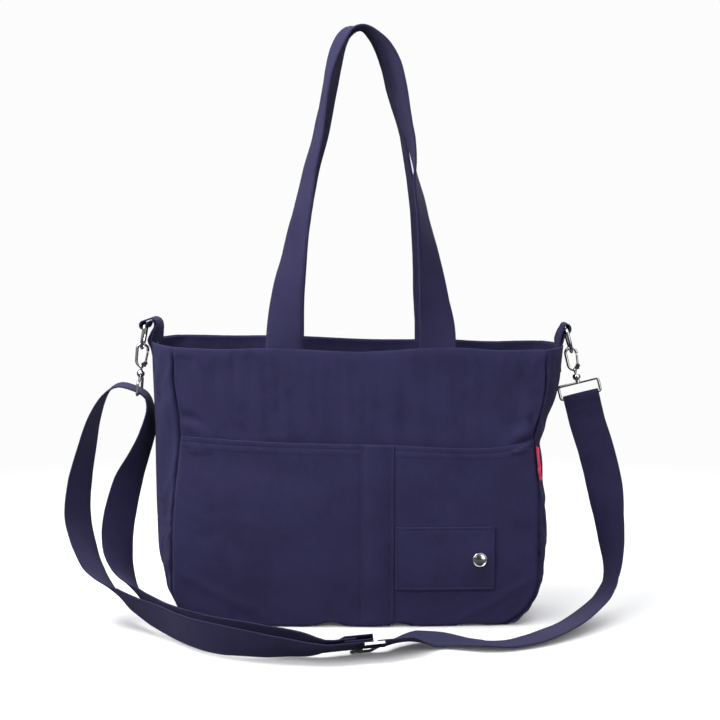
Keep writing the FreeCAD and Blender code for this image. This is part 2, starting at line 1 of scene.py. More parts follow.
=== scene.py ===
import math
import bpy
import numpy as np
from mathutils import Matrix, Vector, noise


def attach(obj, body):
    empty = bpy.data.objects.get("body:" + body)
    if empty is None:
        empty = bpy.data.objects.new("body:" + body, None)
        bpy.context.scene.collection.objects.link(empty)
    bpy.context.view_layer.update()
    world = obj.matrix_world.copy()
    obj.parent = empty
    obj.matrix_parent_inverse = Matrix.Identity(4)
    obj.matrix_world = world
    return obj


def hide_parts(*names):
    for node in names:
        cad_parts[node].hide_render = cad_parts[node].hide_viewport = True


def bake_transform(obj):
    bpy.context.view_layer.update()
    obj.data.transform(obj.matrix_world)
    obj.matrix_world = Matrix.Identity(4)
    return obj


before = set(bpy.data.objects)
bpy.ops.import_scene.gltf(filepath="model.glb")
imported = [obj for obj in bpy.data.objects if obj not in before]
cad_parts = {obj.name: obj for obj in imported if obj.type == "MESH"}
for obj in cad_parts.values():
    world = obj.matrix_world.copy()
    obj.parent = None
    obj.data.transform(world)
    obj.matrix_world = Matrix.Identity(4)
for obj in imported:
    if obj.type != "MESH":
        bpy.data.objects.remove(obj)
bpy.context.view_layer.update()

# Lengths are millimetres until a mesh is made, in the CAD frame: +X right, front -Y, +Z up.
MM = 0.001
RIM = 288.0


# ---------------------------------------------------------------- materials
def new_material(name):
    mat = bpy.data.materials.new(name)
    mat.use_nodes = True
    tree = mat.node_tree
    return mat, tree, tree.nodes["Principled BSDF"]


def node(tree, kind, **values):
    n = tree.nodes.new(kind)
    for key, value in values.items():
        if key in n.inputs:
            n.inputs[key].default_value = value
        else:
            setattr(n, key, value)
    return n


def cloth_material(name, dark, light, pitch, sheen, rough, depth, slant=0.7):
    """Twill cloth: slanted ribs crossed by yarns in millimetres of UV, mottled dye, worn highlights."""
    mat, tree, bsdf = new_material(name)
    link = tree.links.new
    uv = node(tree, "ShaderNodeUVMap")
    place = node(tree, "ShaderNodeMapping")
    place.inputs["Scale"].default_value = (1.0 / pitch, 1.0 / pitch, 1.0)
    place.inputs["Rotation"].default_value = (0, 0, slant)
    link(uv.outputs["UV"], place.inputs["Vector"])
    rib = node(tree, "ShaderNodeTexWave", Scale=0.32, Distortion=1.2, Detail=1.0)
    rib.inputs["Detail Scale"].default_value = 2.0
    link(place.outputs["Vector"], rib.inputs["Vector"])
    yarn = node(tree, "ShaderNodeTexWave", Scale=0.36, Distortion=0.8)
    yarn.bands_direction = "Y"
    link(place.outputs["Vector"], yarn.inputs["Vector"])
    weave = node(tree, "ShaderNodeMath", operation="MULTIPLY_ADD")
    link(yarn.outputs["Fac"], weave.inputs[0])
    weave.inputs[1].default_value = 0.45
    link(rib.outputs["Fac"], weave.inputs[2])
    coord = node(tree, "ShaderNodeTexCoord")
    blotch = node(tree, "ShaderNodeTexNoise", Scale=26.0, Detail=5.0, Roughness=0.62)
    link(coord.outputs["Object"], blotch.inputs["Vector"])
    slub = node(tree, "ShaderNodeTexNoise", Scale=420.0, Detail=4.0, Roughness=0.7)
    link(coord.outputs["Object"], slub.inputs["Vector"])
    total = node(tree, "ShaderNodeMath", operation="MULTIPLY_ADD")
    link(slub.outputs["Fac"], total.inputs[0])
    total.inputs[1].default_value = 0.5
    link(blotch.outputs["Fac"], total.inputs[2])
    fine = node(tree, "ShaderNodeMath", operation="MULTIPLY_ADD")
    link(weave.outputs[0], fine.inputs[0])
    fine.inputs[1].default_value = 0.22
    link(total.outputs[0], fine.inputs[2])
    ramp = node(tree, "ShaderNodeValToRGB")
    ramp.color_ramp.elements[0].position = 0.45
    ramp.color_ramp.elements[0].color = dark + (1,)
    ramp.color_ramp.elements[1].position = 1.25 / 1.3
    ramp.color_ramp.elements[1].color = light + (1,)
    link(fine.outputs[0], ramp.inputs["Fac"])
    link(ramp.outputs["Color"], bsdf.inputs["Base Color"])
    bump = node(tree, "ShaderNodeBump", Strength=0.55, Distance=depth * MM)
    link(weave.outputs[0], bump.inputs["Height"])
    soft = node(tree, "ShaderNodeBump", Strength=0.35, Distance=0.0006)
    link(slub.outputs["Fac"], soft.inputs["Height"])
    link(bump.outputs["Normal"], soft.inputs["Normal"])
    link(soft.outputs["Normal"], bsdf.inputs["Normal"])
    bsdf.inputs["Roughness"].default_value = rough
    bsdf.inputs["Specular IOR Level"].default_value = 0.12
    bsdf.inputs["Sheen Weight"].default_value = sheen
    bsdf.inputs["Sheen Roughness"].default_value = 0.5
    bsdf.inputs["Sheen Tint"].default_value = (0.62, 0.6, 0.95, 1)
    return mat


def metal_material(name, colour, rough):
    """Plated metal with faint brushing, smudges and a slightly uneven polish."""
    mat, tree, bsdf = new_material(name)
    link = tree.links.new
    coord = node(tree, "ShaderNodeTexCoord")
    smudge = node(tree, "ShaderNodeTexNoise", Scale=160.0, Detail=4.0, Roughness=0.6)
    link(coord.outputs["Object"], smudge.inputs["Vector"])
    ramp = node(tree, "ShaderNodeMapRange")
    ramp.inputs["To Min"].default_value = rough * 0.7
    ramp.inputs["To Max"].default_value = rough * 1.6
    link(smudge.outputs["Fac"], ramp.inputs["Value"])
    link(ramp.outputs["Result"], bsdf.inputs["Roughness"])
    tint = node(tree, "ShaderNodeValToRGB")
    tint.color_ramp.elements[0].position = 0.3
    tint.color_ramp.elements[0].color = tuple(0.86 * c for c in colour) + (1,)
    tint.color_ramp.elements[1].position = 0.75
    tint.color_ramp.elements[1].color = colour + (1,)
    link(smudge.outputs["Fac"], tint.inputs["Fac"])
    link(tint.outputs["Color"], bsdf.inputs["Base Color"])
    brush = node(tree, "ShaderNodeTexNoise", Scale=1400.0, Detail=2.0)
    link(coord.outputs["Object"], brush.inputs["Vector"])
    bump = node(tree, "ShaderNodeBump", Strength=0.12, Distance=0.0002)
    link(brush.outputs["Fac"], bump.inputs["Height"])
    link(bump.outputs["Normal"], bsdf.inputs["Normal"])
    bsdf.inputs["Metallic"].default_value = 1.0
    return mat


def plain_material(name, dark, light, rough, scale):
    """Moulded sheet or thread: two tones of noise and a fine grain."""
    mat, tree, bsdf = new_material(name)
    link = tree.links.new
    coord = node(tree, "ShaderNodeTexCoord")
    grain = node(tree, "ShaderNodeTexNoise", Scale=scale, Detail=4.0)
    link(coord.outputs["Object"], grain.inputs["Vector"])
    ramp = node(tree, "ShaderNodeValToRGB")
    ramp.color_ramp.elements[0].color = dark + (1,)
    ramp.color_ramp.elements[1].color = light + (1,)
    link(grain.outputs["Fac"], ramp.inputs["Fac"])
    link(ramp.outputs["Color"], bsdf.inputs["Base Color"])
    bump = node(tree, "ShaderNodeBump", Strength=0.3, Distance=0.0003)
    link(grain.outputs["Fac"], bump.inputs["Height"])
    link(bump.outputs["Normal"], bsdf.inputs["Normal"])
    bsdf.inputs["Roughness"].default_value = rough
    return mat


CANVAS = cloth_material("canvas", (0.0125, 0.0112, 0.0350), (0.0250, 0.0222, 0.0690), 0.9, 0.07, 0.85, 0.25)
BAND = cloth_material("band_canvas", (0.0125, 0.0112, 0.0345), (0.0250, 0.0222, 0.0660), 0.8, 0.09, 0.82, 0.25)
LINING = cloth_material("lining_cloth", (0.010, 0.009, 0.022), (0.020, 0.018, 0.040), 0.6, 0.12, 0.75, 0.12, 0.0)
LABEL = cloth_material("label_cloth", (0.42, 0.018, 0.05), (0.62, 0.035, 0.085), 0.5, 0.15, 0.7, 0.12, 0.0)
THREAD = plain_material("thread", (0.016, 0.014, 0.044), (0.030, 0.027, 0.080), 0.75, 900.0)
RED_THREAD = plain_material("red_thread", (0.45, 0.03, 0.07), (0.65, 0.06, 0.12), 0.6, 900.0)
NICKEL = metal_material("nickel", (0.72, 0.71, 0.69), 0.13)
BOARD = plain_material("board_plastic", (0.05, 0.05, 0.055), (0.08, 0.08, 0.085), 0.55, 300.0)


# ---------------------------------------------------------------- small helpers
def unit(v):
    return v / np.maximum(np.linalg.norm(v, axis=-1, keepdims=True), 1e-9)


def finish_object(name, verts, faces, uvs, mats, face_mats, body, nodes=(), smooth=True):
    """Mesh from millimetre vertices; uvs holds one (u, v) per vertex, in millimetres."""
    mesh = bpy.data.meshes.new(name)
    mesh.from_pydata([tuple(MM * c for c in v) for v in verts], [], [tuple(f) for f in faces])
    layer = mesh.uv_layers.new(name="UVMap")
    loops = np.zeros(len(mesh.loops), np.int32)
    mesh.loops.foreach_get("vertex_index", loops)
    layer.data.foreach_set("uv", np.asarray(uvs, np.float32)[loops].ravel())
    for mat in mats:
        mesh.materials.append(mat)
    if len(mats) > 1:
        mesh.polygons.foreach_set("material_index", np.asarray(face_mats, np.int32))
    mesh.polygons.foreach_set("use_smooth", [smooth] * len(mesh.polygons))
    mesh.validate()
    obj = bpy.data.objects.new(name, mesh)
    bpy.context.scene.collection.objects.link(obj)
    if body:
        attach(obj, body)
    if nodes:
        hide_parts(*nodes)
    return obj


class Build:
    """Collects pieces of one mesh: vertices, faces, UVs and a material per face."""

    def __init__(self):
        self.verts, self.faces, self.uvs, self.mats = [], [], [], []

    def add(self, verts, faces, uvs, mat):
        start = len(self.verts)
        self.verts.extend([tuple(v) for v in verts])
        self.faces.extend([tuple(i + start for i in f) for f in faces])
        self.uvs.extend([tuple(u) for u in uvs])
        self.mats.extend([mat] * len(faces))

    def make(self, name, mats, body, nodes=()):
        return finish_object(name, self.verts, self.faces, self.uvs, mats, self.mats, body, nodes)


def grid_faces(rows, cols, wrap=False, flip=False):
    faces = []
    for i in range(rows - 1):
        for j in range(cols if wrap else cols - 1):
            a, b = i * cols + j, i * cols + (j + 1) % cols
            c, d = b + cols, a + cols
            faces.append((a, d, c, b) if flip else (a, b, c, d))
    return faces


def grid_normals(p):
    du = np.gradient(p, axis=1)
    dv = np.gradient(p, axis=0)
    return unit(np.cross(du, dv))


def refine(p, times):
    """Catmull-Rom doubling of a grid of points along both axes."""
    for _ in range(times):
        for axis in (0, 1):
            q = np.swapaxes(p, 0, axis)
            first, last = 2 * q[:1] - q[1:2], 2 * q[-1:] - q[-2:-1]
            e = np.concatenate([first, q, last])
            mids = (-e[:-3] + 9 * e[1:-2] + 9 * e[2:-1] - e[3:]) / 16.0
            out = np.zeros((2 * len(q) - 1,) + q.shape[1:])
            out[0::2] = q
            out[1::2] = mids
            p = np.swapaxes(out, 0, axis)
    return p


def lumps(points, scale, seed):
    """Smooth seeded noise, one value per point."""
    flat = points.reshape(-1, 3) / scale
    values = [noise.noise(Vector((float(a) + seed, float(b) - seed, float(c)))) for a, b, c in flat]
    return np.array(values).reshape(points.shape[:-1])


def sheet(build, p, thick, mat, flip=False, uv=None, round_edge=0.35):
    """Closed cloth sheet from a grid: outer face p, inner face pushed in by thick along the normals."""
    rows, cols = p.shape[:2]
    n = grid_normals(p) * (-1.0 if flip else 1.0)
    if uv is None:
        du = np.concatenate([[0], np.cumsum(np.linalg.norm(np.diff(p[rows // 2], axis=0), axis=1))])
        dv = np.concatenate([[0], np.cumsum(np.linalg.norm(np.diff(p[:, cols // 2], axis=0), axis=1))])
        uv = np.stack(np.meshgrid(du, dv), axis=-1)
    inner = p - n * thick
    count = rows * cols
    build_faces = grid_faces(rows, cols, flip=flip)
    build_faces += [tuple(i + count for i in f[::-1]) for f in grid_faces(rows, cols, flip=flip)]
    edge = [(0, j) for j in range(cols - 1)] + [(i, cols - 1) for i in range(rows - 1)]
    edge += [(rows - 1, j) for j in range(cols - 1, 0, -1)] + [(i, 0) for i in range(rows - 1, 0, -1)]
    ids = [i * cols + j for i, j in edge]
    mid_verts, mid_uvs = [], []
    centre = 0.5 * (p + inner)
    for k, (i, j) in enumerate(edge):
        a, b = edge[k - 1], edge[(k + 1) % len(edge)]
        along = unit(p[b] - p[a])
        out = unit(np.cross(along, n[i, j])) * (-1.0 if flip else 1.0)
        mid_verts.append(centre[i, j] + out * thick * round_edge)
        mid_uvs.append(uv[i, j])
    m = len(edge)
    for k in range(m):
        a, b = ids[k], ids[(k + 1) % m]
        c, d = 2 * count + (k + 1) % m, 2 * count + k
        f1, f2 = (b, a, d, c), (c, d, a + count, b + count)
        if flip:
            f1, f2 = f1[::-1], f2[::-1]
        build_faces += [f1, f2]
    verts = np.concatenate([p.reshape(-1, 3), inner.reshape(-1, 3), np.array(mid_verts)])
    uvs = np.concatenate([uv.reshape(-1, 2), uv.reshape(-1, 2), np.array(mid_uvs)])
    build.add(verts, build_faces, uvs, mat)


def stitches(build, line, normals, mat, pitch=3.4, length=2.5, radius=0.34, sink=0.12):
    """Row of thread stitches laid along a line of points, each a small rounded lozenge in the cloth."""
    line, normals = np.asarray(line, float), np.asarray(normals, float)
    run = np.concatenate([[0], np.cumsum(np.linalg.norm(np.diff(line, axis=0), axis=1))])
    count = int((run[-1] - 0.4 * pitch) / pitch)
    for k in range(count):
        spots, ups = [], []
        for share in (-0.5, 0.0, 0.5):
            d = (k + 0.6 + share * length / pitch) * pitch
            spots.append([np.interp(d, run, line[:, c]) for c in range(3)])
            ups.append([np.interp(d, run, normals[:, c]) for c in range(3)])
        spots, up = np.array(spots), unit(np.array(ups[1]))
        way = unit(spots[2] - spots[0])
        side = unit(np.cross(way, up))
        verts, uvs = [spots[0] - up * (sink + radius)], [(0, 0)]
        for t, r, h in ((-0.32, 0.75, 0.45), (0.0, 1.0, 0.7), (0.32, 0.75, 0.45)):
            centre = spots[1] + way * (t * length)
            for a in (90, 18, -54, -126, 162):
                c, s = math.cos(math.radians(a)) * r * radius, math.sin(math.radians(a)) * r * radius
                verts.append(centre + side * c + up * (s - sink + h * radius * 0.6))
                uvs.append((t, a / 90.0))
        verts.append(spots[2] - up * (sink + radius))
        uvs.append((1, 0))
        faces = [(0, 1 + (i + 1) % 5, 1 + i) for i in range(5)]
        for ring in (0, 1):
            o = 1 + 5 * ring
            faces += [(o + i, o + (i + 1) % 5, o + 5 + (i + 1) % 5, o + 5 + i) for i in range(5)]
        faces += [(16, 11 + i, 11 + (i + 1) % 5) for i in range(5)]
        build.add(verts, faces, uvs, mat)


# ---------------------------------------------------------------- bag shape
SHAPE = {
    "left": ((0, 195), (80, 195), (110, 194), (150, 190.5), (189, 186), (206, 185), (220, 186), (240, 189.5),
             (258, 192), (288, 191)),
    "right": ((0, 190), (110, 190), (150, 189.5), (189, 185), (206, 184), (220, 190), (240, 195), (258, 196),
              (288, 196)),
    "left_bulge": ((0, 10), (46, 15), (80, 18), (110, 20), (189, 25), (288, 26)),
    "right_bulge": ((0, 8), (46, 13), (80, 14), (150, 13), (189, 11), (206, 9), (220, 11.5), (240, 14),
                    (258, 17), (288, 21)),
    "depth": ((0, 49), (60, 54), (150, 54), (220, 51), (288, 48)),
    "front_bow": ((0, 3), (60, 7), (150, 8), (220, 6), (288, 5.5)),
    "back_bow": ((0, 3), (60, 7), (150, 8), (220, 5), (288, 4)),
}
CORNER = {"left": 44.0, "right": 52.0}


def shape_at(name, z, blur=9.0):
    zs, vs = zip(*SHAPE[name])
    z = np.asarray(z, float)
    return sum(np.interp(z + blur * k, zs, vs) for k in (-1, -0.5, 0, 0.5, 1)) / 5.0


def seam_half(side, z, inset):
    r = CORNER[side]
    z = np.asarray(z, float)
    reach = np.sqrt(np.maximum((r - inset) ** 2 - np.maximum(r - z, 0) ** 2, 0)) - (r - inset)
    return shape_at(side, np.maximum(z, 12), 9.0) - inset + np.where(z < r, reach, 0)


def panel_grid(face, cols, rows_z, inset, puff=0.0):
    """Front (face -1) or back (face +1) panel as a grid of points, rows from the bottom up."""
    s = np.linspace(-1, 1, cols)
    out = np.zeros((len(rows_z), cols, 3))
    for i, z in enumerate(rows_z):
        left, right = -seam_half("left", z, inset), seam_half("right", z, inset)
        bow = shape_at("front_bow" if face < 0 else "back_bow", z) + puff
        out[i, :, 0] = 0.5 * (left + right) + 0.5 * (right - left) * s
        out[i, :, 1] = face * (shape_at("depth", z) - inset + bow * (1 - s * s))
        out[i, :, 2] = z
    return out


def band_grid(cols, rows_z, inset, deep):
    """Gusset: from the left rim down, along the bottom and up to the right rim; columns from front to back."""
    zs = list(rows_z[::-1])
    low = rows_z[0]
    left0, right0 = -seam_half("left", low, inset), seam_half("right", low, inset)
    path = [("left", -seam_half("left", z, inset), z) for z in zs]
    path += [("low", x, low) for x in np.linspace(left0, right0, cols)[1:-1]]
    path += [("right", seam_half("right", z, inset), z) for z in zs[::-1]]
    t = np.linspace(-1, 1, deep)
    out = np.zeros((len(path), deep, 3))
    for k, (side, x, z) in enumerate(path):
        fade = min(1.0, 0.45 + z / 60.0)
        push = 0.0
        if side != "low":
            push = shape_at(side + "_bulge", z) * fade * (-1 if side == "left" else 1)
        out[k, :, 0] = x + push * (1 - t * t)
        out[k, :, 1] = (shape_at("depth", z) - inset) * t
        out[k, :, 2] = z
    return out


def row_heights(low, top):
    curve = [low + (46 - low) * (1 - math.cos(a * math.pi / 18)) for a in range(10)]
    steps = int(round((top - 46) / 6.2))
    return np.array(curve[:-1] + list(np.linspace(46, top, steps + 1)))


COLS, DEEP = 61, 19
ROWS_Z = row_heights(0.0, RIM)
ROWS = len(ROWS_Z)


def settle_cloth(name, parts, links, pins, frames, stiffness, extra, gravity=1.0, pressure=0.0):
    """Cloth simulation of several grids sewn at shared vertices; returns the settled grids."""
    verts, faces, maps = [], [], []
    for p, flip in parts:
        maps.append(np.arange(len(verts), len(verts) + p.shape[0] * p.shape[1]).reshape(p.shape[:2]))
        verts.extend(p.reshape(-1, 3))
        faces.extend([tuple(i + maps[-1][0, 0] for i in f) for f in grid_faces(*p.shape[:2], flip=flip)])
    target = np.arange(len(verts))
    for (pa, ia), (pb, ib) in links:
        target[maps[pb][ib]] = target[maps[pa][ia]]
    used, back = np.unique(target, return_inverse=True)
    mesh = bpy.data.meshes.new(name)
    clean = [tuple(dict.fromkeys(int(back[i]) for i in f)) for f in faces]
    mesh.from_pydata([tuple(MM * c for c in verts[i]) for i in used], [], [f for f in clean if len(f) > 2])
    obj = bpy.data.objects.new(name, mesh)
    bpy.context.scene.collection.objects.link(obj)
    group = obj.vertex_groups.new(name="pin")
    weights = {}
    for value, (part, index) in pins:
        for i in np.atleast_1d(back[maps[part][index]].ravel()):
            weights[int(i)] = max(weights.get(int(i), 0.0), value)
    for i, value in weights.items():
        group.add([i], value, "REPLACE")
    mod = obj.modifiers.new("cloth", "CLOTH")
    s = mod.settings
    s.quality = 5
    s.mass = 0.25
    s.tension_stiffness = s.compression_stiffness = stiffness
    s.shear_stiffness = 0.6 * stiffness
    s.bending_stiffness = 0.6
    s.air_damping = 4.0
    s.tension_damping = s.compression_damping = s.shear_damping = 12.0
    s.vertex_group_mass = "pin"
    s.pin_stiffness = 1.2
    s.shrink_min = extra
    s.effector_weights.gravity = gravity
    if pressure:
        s.use_pressure = True
        s.uniform_pressure_force = pressure
    mod.point_cache.frame_start, mod.point_cache.frame_end = 1, frames
    scene = bpy.context.scene
    for f in range(1, frames + 1):
        scene.frame_set(f)
    settled = obj.evaluated_get(bpy.context.evaluated_depsgraph_get()).to_mesh()
    co = np.zeros(len(settled.vertices) * 3)
    settled.vertices.foreach_get("co", co)
    co = co.reshape(-1, 3) / MM
    scene.frame_set(1)
    bpy.data.objects.remove(obj)
    return [co[back[m]] for m in maps]


def sewn_links():
    """Which vertices of the front (0), back (1) and band (2) grids are sewn together."""
    spots = [(i, 0) for i in range(ROWS - 1, -1, -1)] + [(0, j) for j in range(1, COLS - 1)]
    spots += [(i, COLS - 1) for i in range(ROWS)]
    links = []
    for k, spot in enumerate(spots):
        links.append(((0, spot), (2, (k, 0))))
        links.append(((1, spot), (2, (k, DEEP - 1))))
    return links, spots


front = panel_grid(-1, COLS, ROWS_Z, 0.0)
back = panel_grid(1, COLS, ROWS_Z, 0.0)
band = band_grid(COLS, ROWS_Z, 0.0, DEEP)
links, seam_spots = sewn_links()


def settle_bag(front, back, band):
    top = [i for i in range(ROWS) if ROWS_Z[i] > 276]
    pins = [(1.0, (p, (top[-1], slice(None)))) for p in (0, 1)]
    pins += [(0.85, (p, (i, slice(None)))) for p in (0, 1) for i in top]
    pins += [(0.85, (2, (k, slice(None)))) for k in range(len(seam_spots)) if band[k, 0, 2] > 276]
    pins += [(1.0, (2, (k, slice(None)))) for k in (0, len(seam_spots) - 1)]
    pins += [(0.8, (2, (k, e))) for k in range(len(seam_spots)) for e in (0, DEEP - 1)]
    pins += [(1.0, (2, (k, slice(2, DEEP - 2)))) for k in range(len(seam_spots)) if band[k, 0, 2] < 1.0]
    return settle_cloth("bag_sim", [(front, False), (back, True), (band, True)], links, pins,
                        28, 14.0, -0.035, 0.8, 0.35)


stiff_front, stiff_back, stiff_band = front.copy(), back.copy(), band.copy()
front, back, band = settle_bag(front, back, band)
band = 0.4 * band + 0.6 * stiff_band
calm = 0.7 * np.clip((ROWS_Z - 150) / 50, 0, 1)[:, None, None]
front = (1 - calm) * front + calm * stiff_front
back = 0.28 * back + 0.72 * stiff_back
across_band = np.linspace(-1, 1, DEEP)[:, None]
for k, spot in enumerate(seam_spots):
    band[k] += (front[spot] - band[k, 0]) * ((1 - across_band) / 2) ** 3
    band[k] += (back[spot] - band[k, -1]) * ((1 + across_band) / 2) ** 3
band[..., 2] = np.maximum(band[..., 2], 0.3)
front[..., 2] = np.maximum(front[..., 2], 0.3)
back[..., 2] = np.maximum(back[..., 2], 0.3)


# ---------------------------------------------------------------- settled surfaces, read back anywhere
class Surface:
    """Settled grid read back by row height z and share s (-1 to 1) across the columns."""

    def __init__(self, grid, rows_z):
        self.grid = refine(grid, 2)
        self.rows = np.interp(np.arange(self.grid.shape[0]) / 4.0, np.arange(len(rows_z)), rows_z)

    def at(self, z, s):
        z, s = np.broadcast_arrays(np.asarray(z, float), np.asarray(s, float))
        r = np.interp(z, self.rows, np.arange(len(self.rows)))
        c = (s + 1) * 0.5 * (self.grid.shape[1] - 1)
        i = np.clip(np.floor(r).astype(int), 0, self.grid.shape[0] - 2)
        j = np.clip(np.floor(c).astype(int), 0, self.grid.shape[1] - 2)
        fr, fc = (r - i)[..., None], (c - j)[..., None]
        g = self.grid
        low = g[i, j] * (1 - fc) + g[i, j + 1] * fc
        high = g[i + 1, j] * (1 - fc) + g[i + 1, j + 1] * fc
        return low * (1 - fr) + high * fr


FRONT = Surface(front, ROWS_Z)
BACK = Surface(back, ROWS_Z)
LEFT = Surface(band[:ROWS][::-1], ROWS_Z)
RIGHT = Surface(band[-ROWS:], ROWS_Z)
UNDER = Surface(band[ROWS - 1:1 - ROWS], np.arange(len(band) - 2 * ROWS + 2))


def smooth(t):
    t = np.clip(t, 0, 1)
    return t * t * (3 - 2 * t)


def share_of(x, z):
    left, right = -seam_half("left", z, 0), seam_half("right", z, 0)
    return (2 * np.asarray(x, float) - left - right) / (right - left)


def hill(v, centre, width):
    return np.exp(-((v - centre) / width) ** 2)


def drape(p):
    """Shape shared by every layer of the bag: the rim sags between the handles, the hem lifts off the floor."""
    x, y, z = p[..., 0], p[..., 1], p[..., 2]
    q = p.copy()
    face = smooth((np.abs(y) - 8) / 30)
    front_side = y < 0
    sag = np.where(front_side, 2.6 * hill(x, -2, 46) + 1.6 * hill(x, -140, 30) + 1.8 * hill(x, 143, 32),
                   2.0 * hill(x, 8, 50) + 1.0 * hill(x, -130, 34) + 1.5 * hill(x, 135, 34))
    q[..., 2] -= sag * face * smooth((z - 226) / 55)
    rise_front = np.interp(x, (-200, -175, -100, -50, 0, 40, 75, 115, 140, 190), (4.5, 3.2, 3.1, 2.2, 1.8, 2.2, 3.6, 3.8, 2.5, 1.0))
    rise_back = np.interp(x, (-200, -110, -50, 0, 60, 107, 150, 200), (8.0, 7.6, 6.2, 5.0, 3.2, 3.0, 1.8, 1.5))
    turn = smooth((y + 45) / 90)
    q[..., 2] += (rise_front * (1 - turn) + rise_back * turn) * smooth((z - 200) / 85)
    lift = 5.2 * hill(x, -28, 15) + 4.4 * hill(x, 44, 12) + 1.5 * hill(x, -120, 20) + 2.0 * hill(x, 118, 16)
    q[..., 2] += np.where(front_side, lift, 0.5 * lift) * face * np.exp(-np.maximum(z, 0) / 15.0)
    return q


def front_creases(x, z):
    """Outward shift of the front panel, in mm: drag folds and the pinch by the right seam."""
    run = (x + 187) * 0.93 - (z - 225) * 0.36
    off = (x + 187) * 0.36 + (z - 225) * 0.93
    fold = -3.0 * np.exp(-(off / 4.6) ** 2) * smooth((run - 3) / 12) * smooth((42 - run) / 30)
    fold += 2.2 * np.exp(-((off + 9) / 6.0) ** 2) * smooth((run - 2) / 12) * smooth((50 - run) / 36)
    gap = (x - 187) * 0.95
    line = z - 200.5 - 0.38 * gap
    fold += -5.2 * np.exp(-(line / (3.0 - 0.03 * gap)) ** 2) * smooth((gap + 34) / 26)
    fold += 2.6 * np.exp(-((line - 10) / 7.0) ** 2) * smooth((gap + 44) / 40)
    upright = x - 180 - 0.3 * (215 - z)
    fold += -3.2 * np.exp(-(upright / 3.0) ** 2) * smooth((z - 196) / 6) * smooth((226 - z) / 12)
    fold += -0.8 * np.exp(-((x - 118 + 0.35 * (z - 250)) / 12.0) ** 2) * smooth((z - 205) / 25) * smooth((286 - z) / 25)
    return fold


def undulate(p, n, amount, seed, fade):
    wave = 1.0 * lumps(p, 80.0, seed) + 0.5 * lumps(p, 34.0, seed + 7) + 0.22 * lumps(p, 13.0, seed + 13)
    return p + n * (amount * wave * fade)[..., None]


def facing_grid(surface, rows, shares):
    z, s = np.meshgrid(rows, shares, indexing="ij")
    return surface.at(z, s), z, s


def plain_uv(p):
    return np.stack([p[..., 0], p[..., 2]], axis=-1)


# ---------------------------------------------------------------- outer panels
def seam_dent(distance):
    """Depth below the cloth's face at a distance from the seam: a rolled edge and a narrow groove."""
    return 1.0 * np.exp(-(distance / 4.5) ** 2) + 3.1 * seam_curl(distance)


def seam_curl(distance):
    """How far (0 to 1) the cloth turns under beside the seam."""
    return np.exp(-(distance / 1.6) ** 2)


rows = np.concatenate([np.linspace(0, 12, 9)[:-1], np.linspace(12, RIM, 112)])
shares = np.sin(np.linspace(-1, 1, 145) * math.pi / 2 * 0.86) / math.sin(math.pi / 2 * 0.86)


def seam_fade(s, half=190.0, width=16.0):
    return smooth((1 - np.abs(s)) * half / width)


def outer_front():
    p, z, s = facing_grid(FRONT, rows, shares)
    n = grid_normals(p)
    x = p[..., 0]
    fade = seam_fade(s) * smooth((RIM + 2 - z) / 14)
    p = undulate(p, n, 1.2, 3.1, fade)
    p[..., 1] -= front_creases(x, z)
    p[..., 1] += 0.9 * smooth((z - 281) / 7)
    hidden = smooth((186 - z) / 10)
    flat_y = -(shape_at("depth", z) + shape_at("front_bow", z) * (1 - s * s)) + 1.6
    p[..., 1] = np.where(hidden > 0, np.maximum(p[..., 1], p[..., 1] * (1 - hidden) + flat_y * hidden), p[..., 1])
    edge = (1 - np.abs(s)) * 190
    hemmed = 0.2 + 0.8 * smooth((285 - z) / 12)
    p = p - n * (hemmed * seam_dent(edge))[..., None]
    p[..., 0] -= np.sign(s) * 2.6 * hemmed * seam_curl(edge)
    return drape(p)


def outer_back():
    p, z, s = facing_grid(BACK, rows, shares)
    n = -grid_normals(p)
    fade = seam_fade(s) * smooth((RIM + 2 - z) / 14)
    p = undulate(p, n, 2.0, 9.7, fade)
    x = p[..., 0]
    p[..., 1] -= 0.9 * smooth((z - 281) / 7)
    p[..., 1] += 1.6 * np.exp(-((x + 60 + 0.4 * (z - 150)) / 14.0) ** 2) * smooth(z / 60) * smooth((270 - z) / 60)
    p[..., 1] -= 1.6 * np.exp(-((x - 75 - 0.3 * (z - 150)) / 12.0) ** 2) * smooth(z / 60) * smooth((270 - z) / 60)
    edge = (1 - np.abs(s)) * 190
    hemmed = 0.2 + 0.8 * smooth((285 - z) / 12)
    p = p - n * (hemmed * seam_dent(edge))[..., None]
    p[..., 0] -= np.sign(s) * 2.6 * hemmed * seam_curl(edge)
    return drape(p)


OUTLINE = {
    "left": ((0, 168), (8, 182), (18, 194), (38, 204.5), (75, 212.5), (124, 214), (165, 214.4), (199, 214.5),
             (225, 215.2), (252, 216.2), (292, 217.5)),
    "right": ((0, 166), (8, 177), (15, 184), (26, 191.5), (37, 195.7), (56, 198.6), (80, 203), (102, 202.8),
              (124, 201.5), (145, 196.8), (167, 196.5), (180, 194.5), (187, 192.4), (193, 194.6), (199, 198.2),
              (212, 200.3), (222, 204.5), (232, 209), (252, 213.5), (292, 217.5)),
}


def outline_at(side, z):
    """Half-width of the bag's silhouette, read half-way through its depth."""
    zs, vs = zip(*OUTLINE[side])
    return sum(np.interp(np.asarray(z, float) + 4.0 * k, zs, vs) for k in (-1, 0, 1)) / 3.0


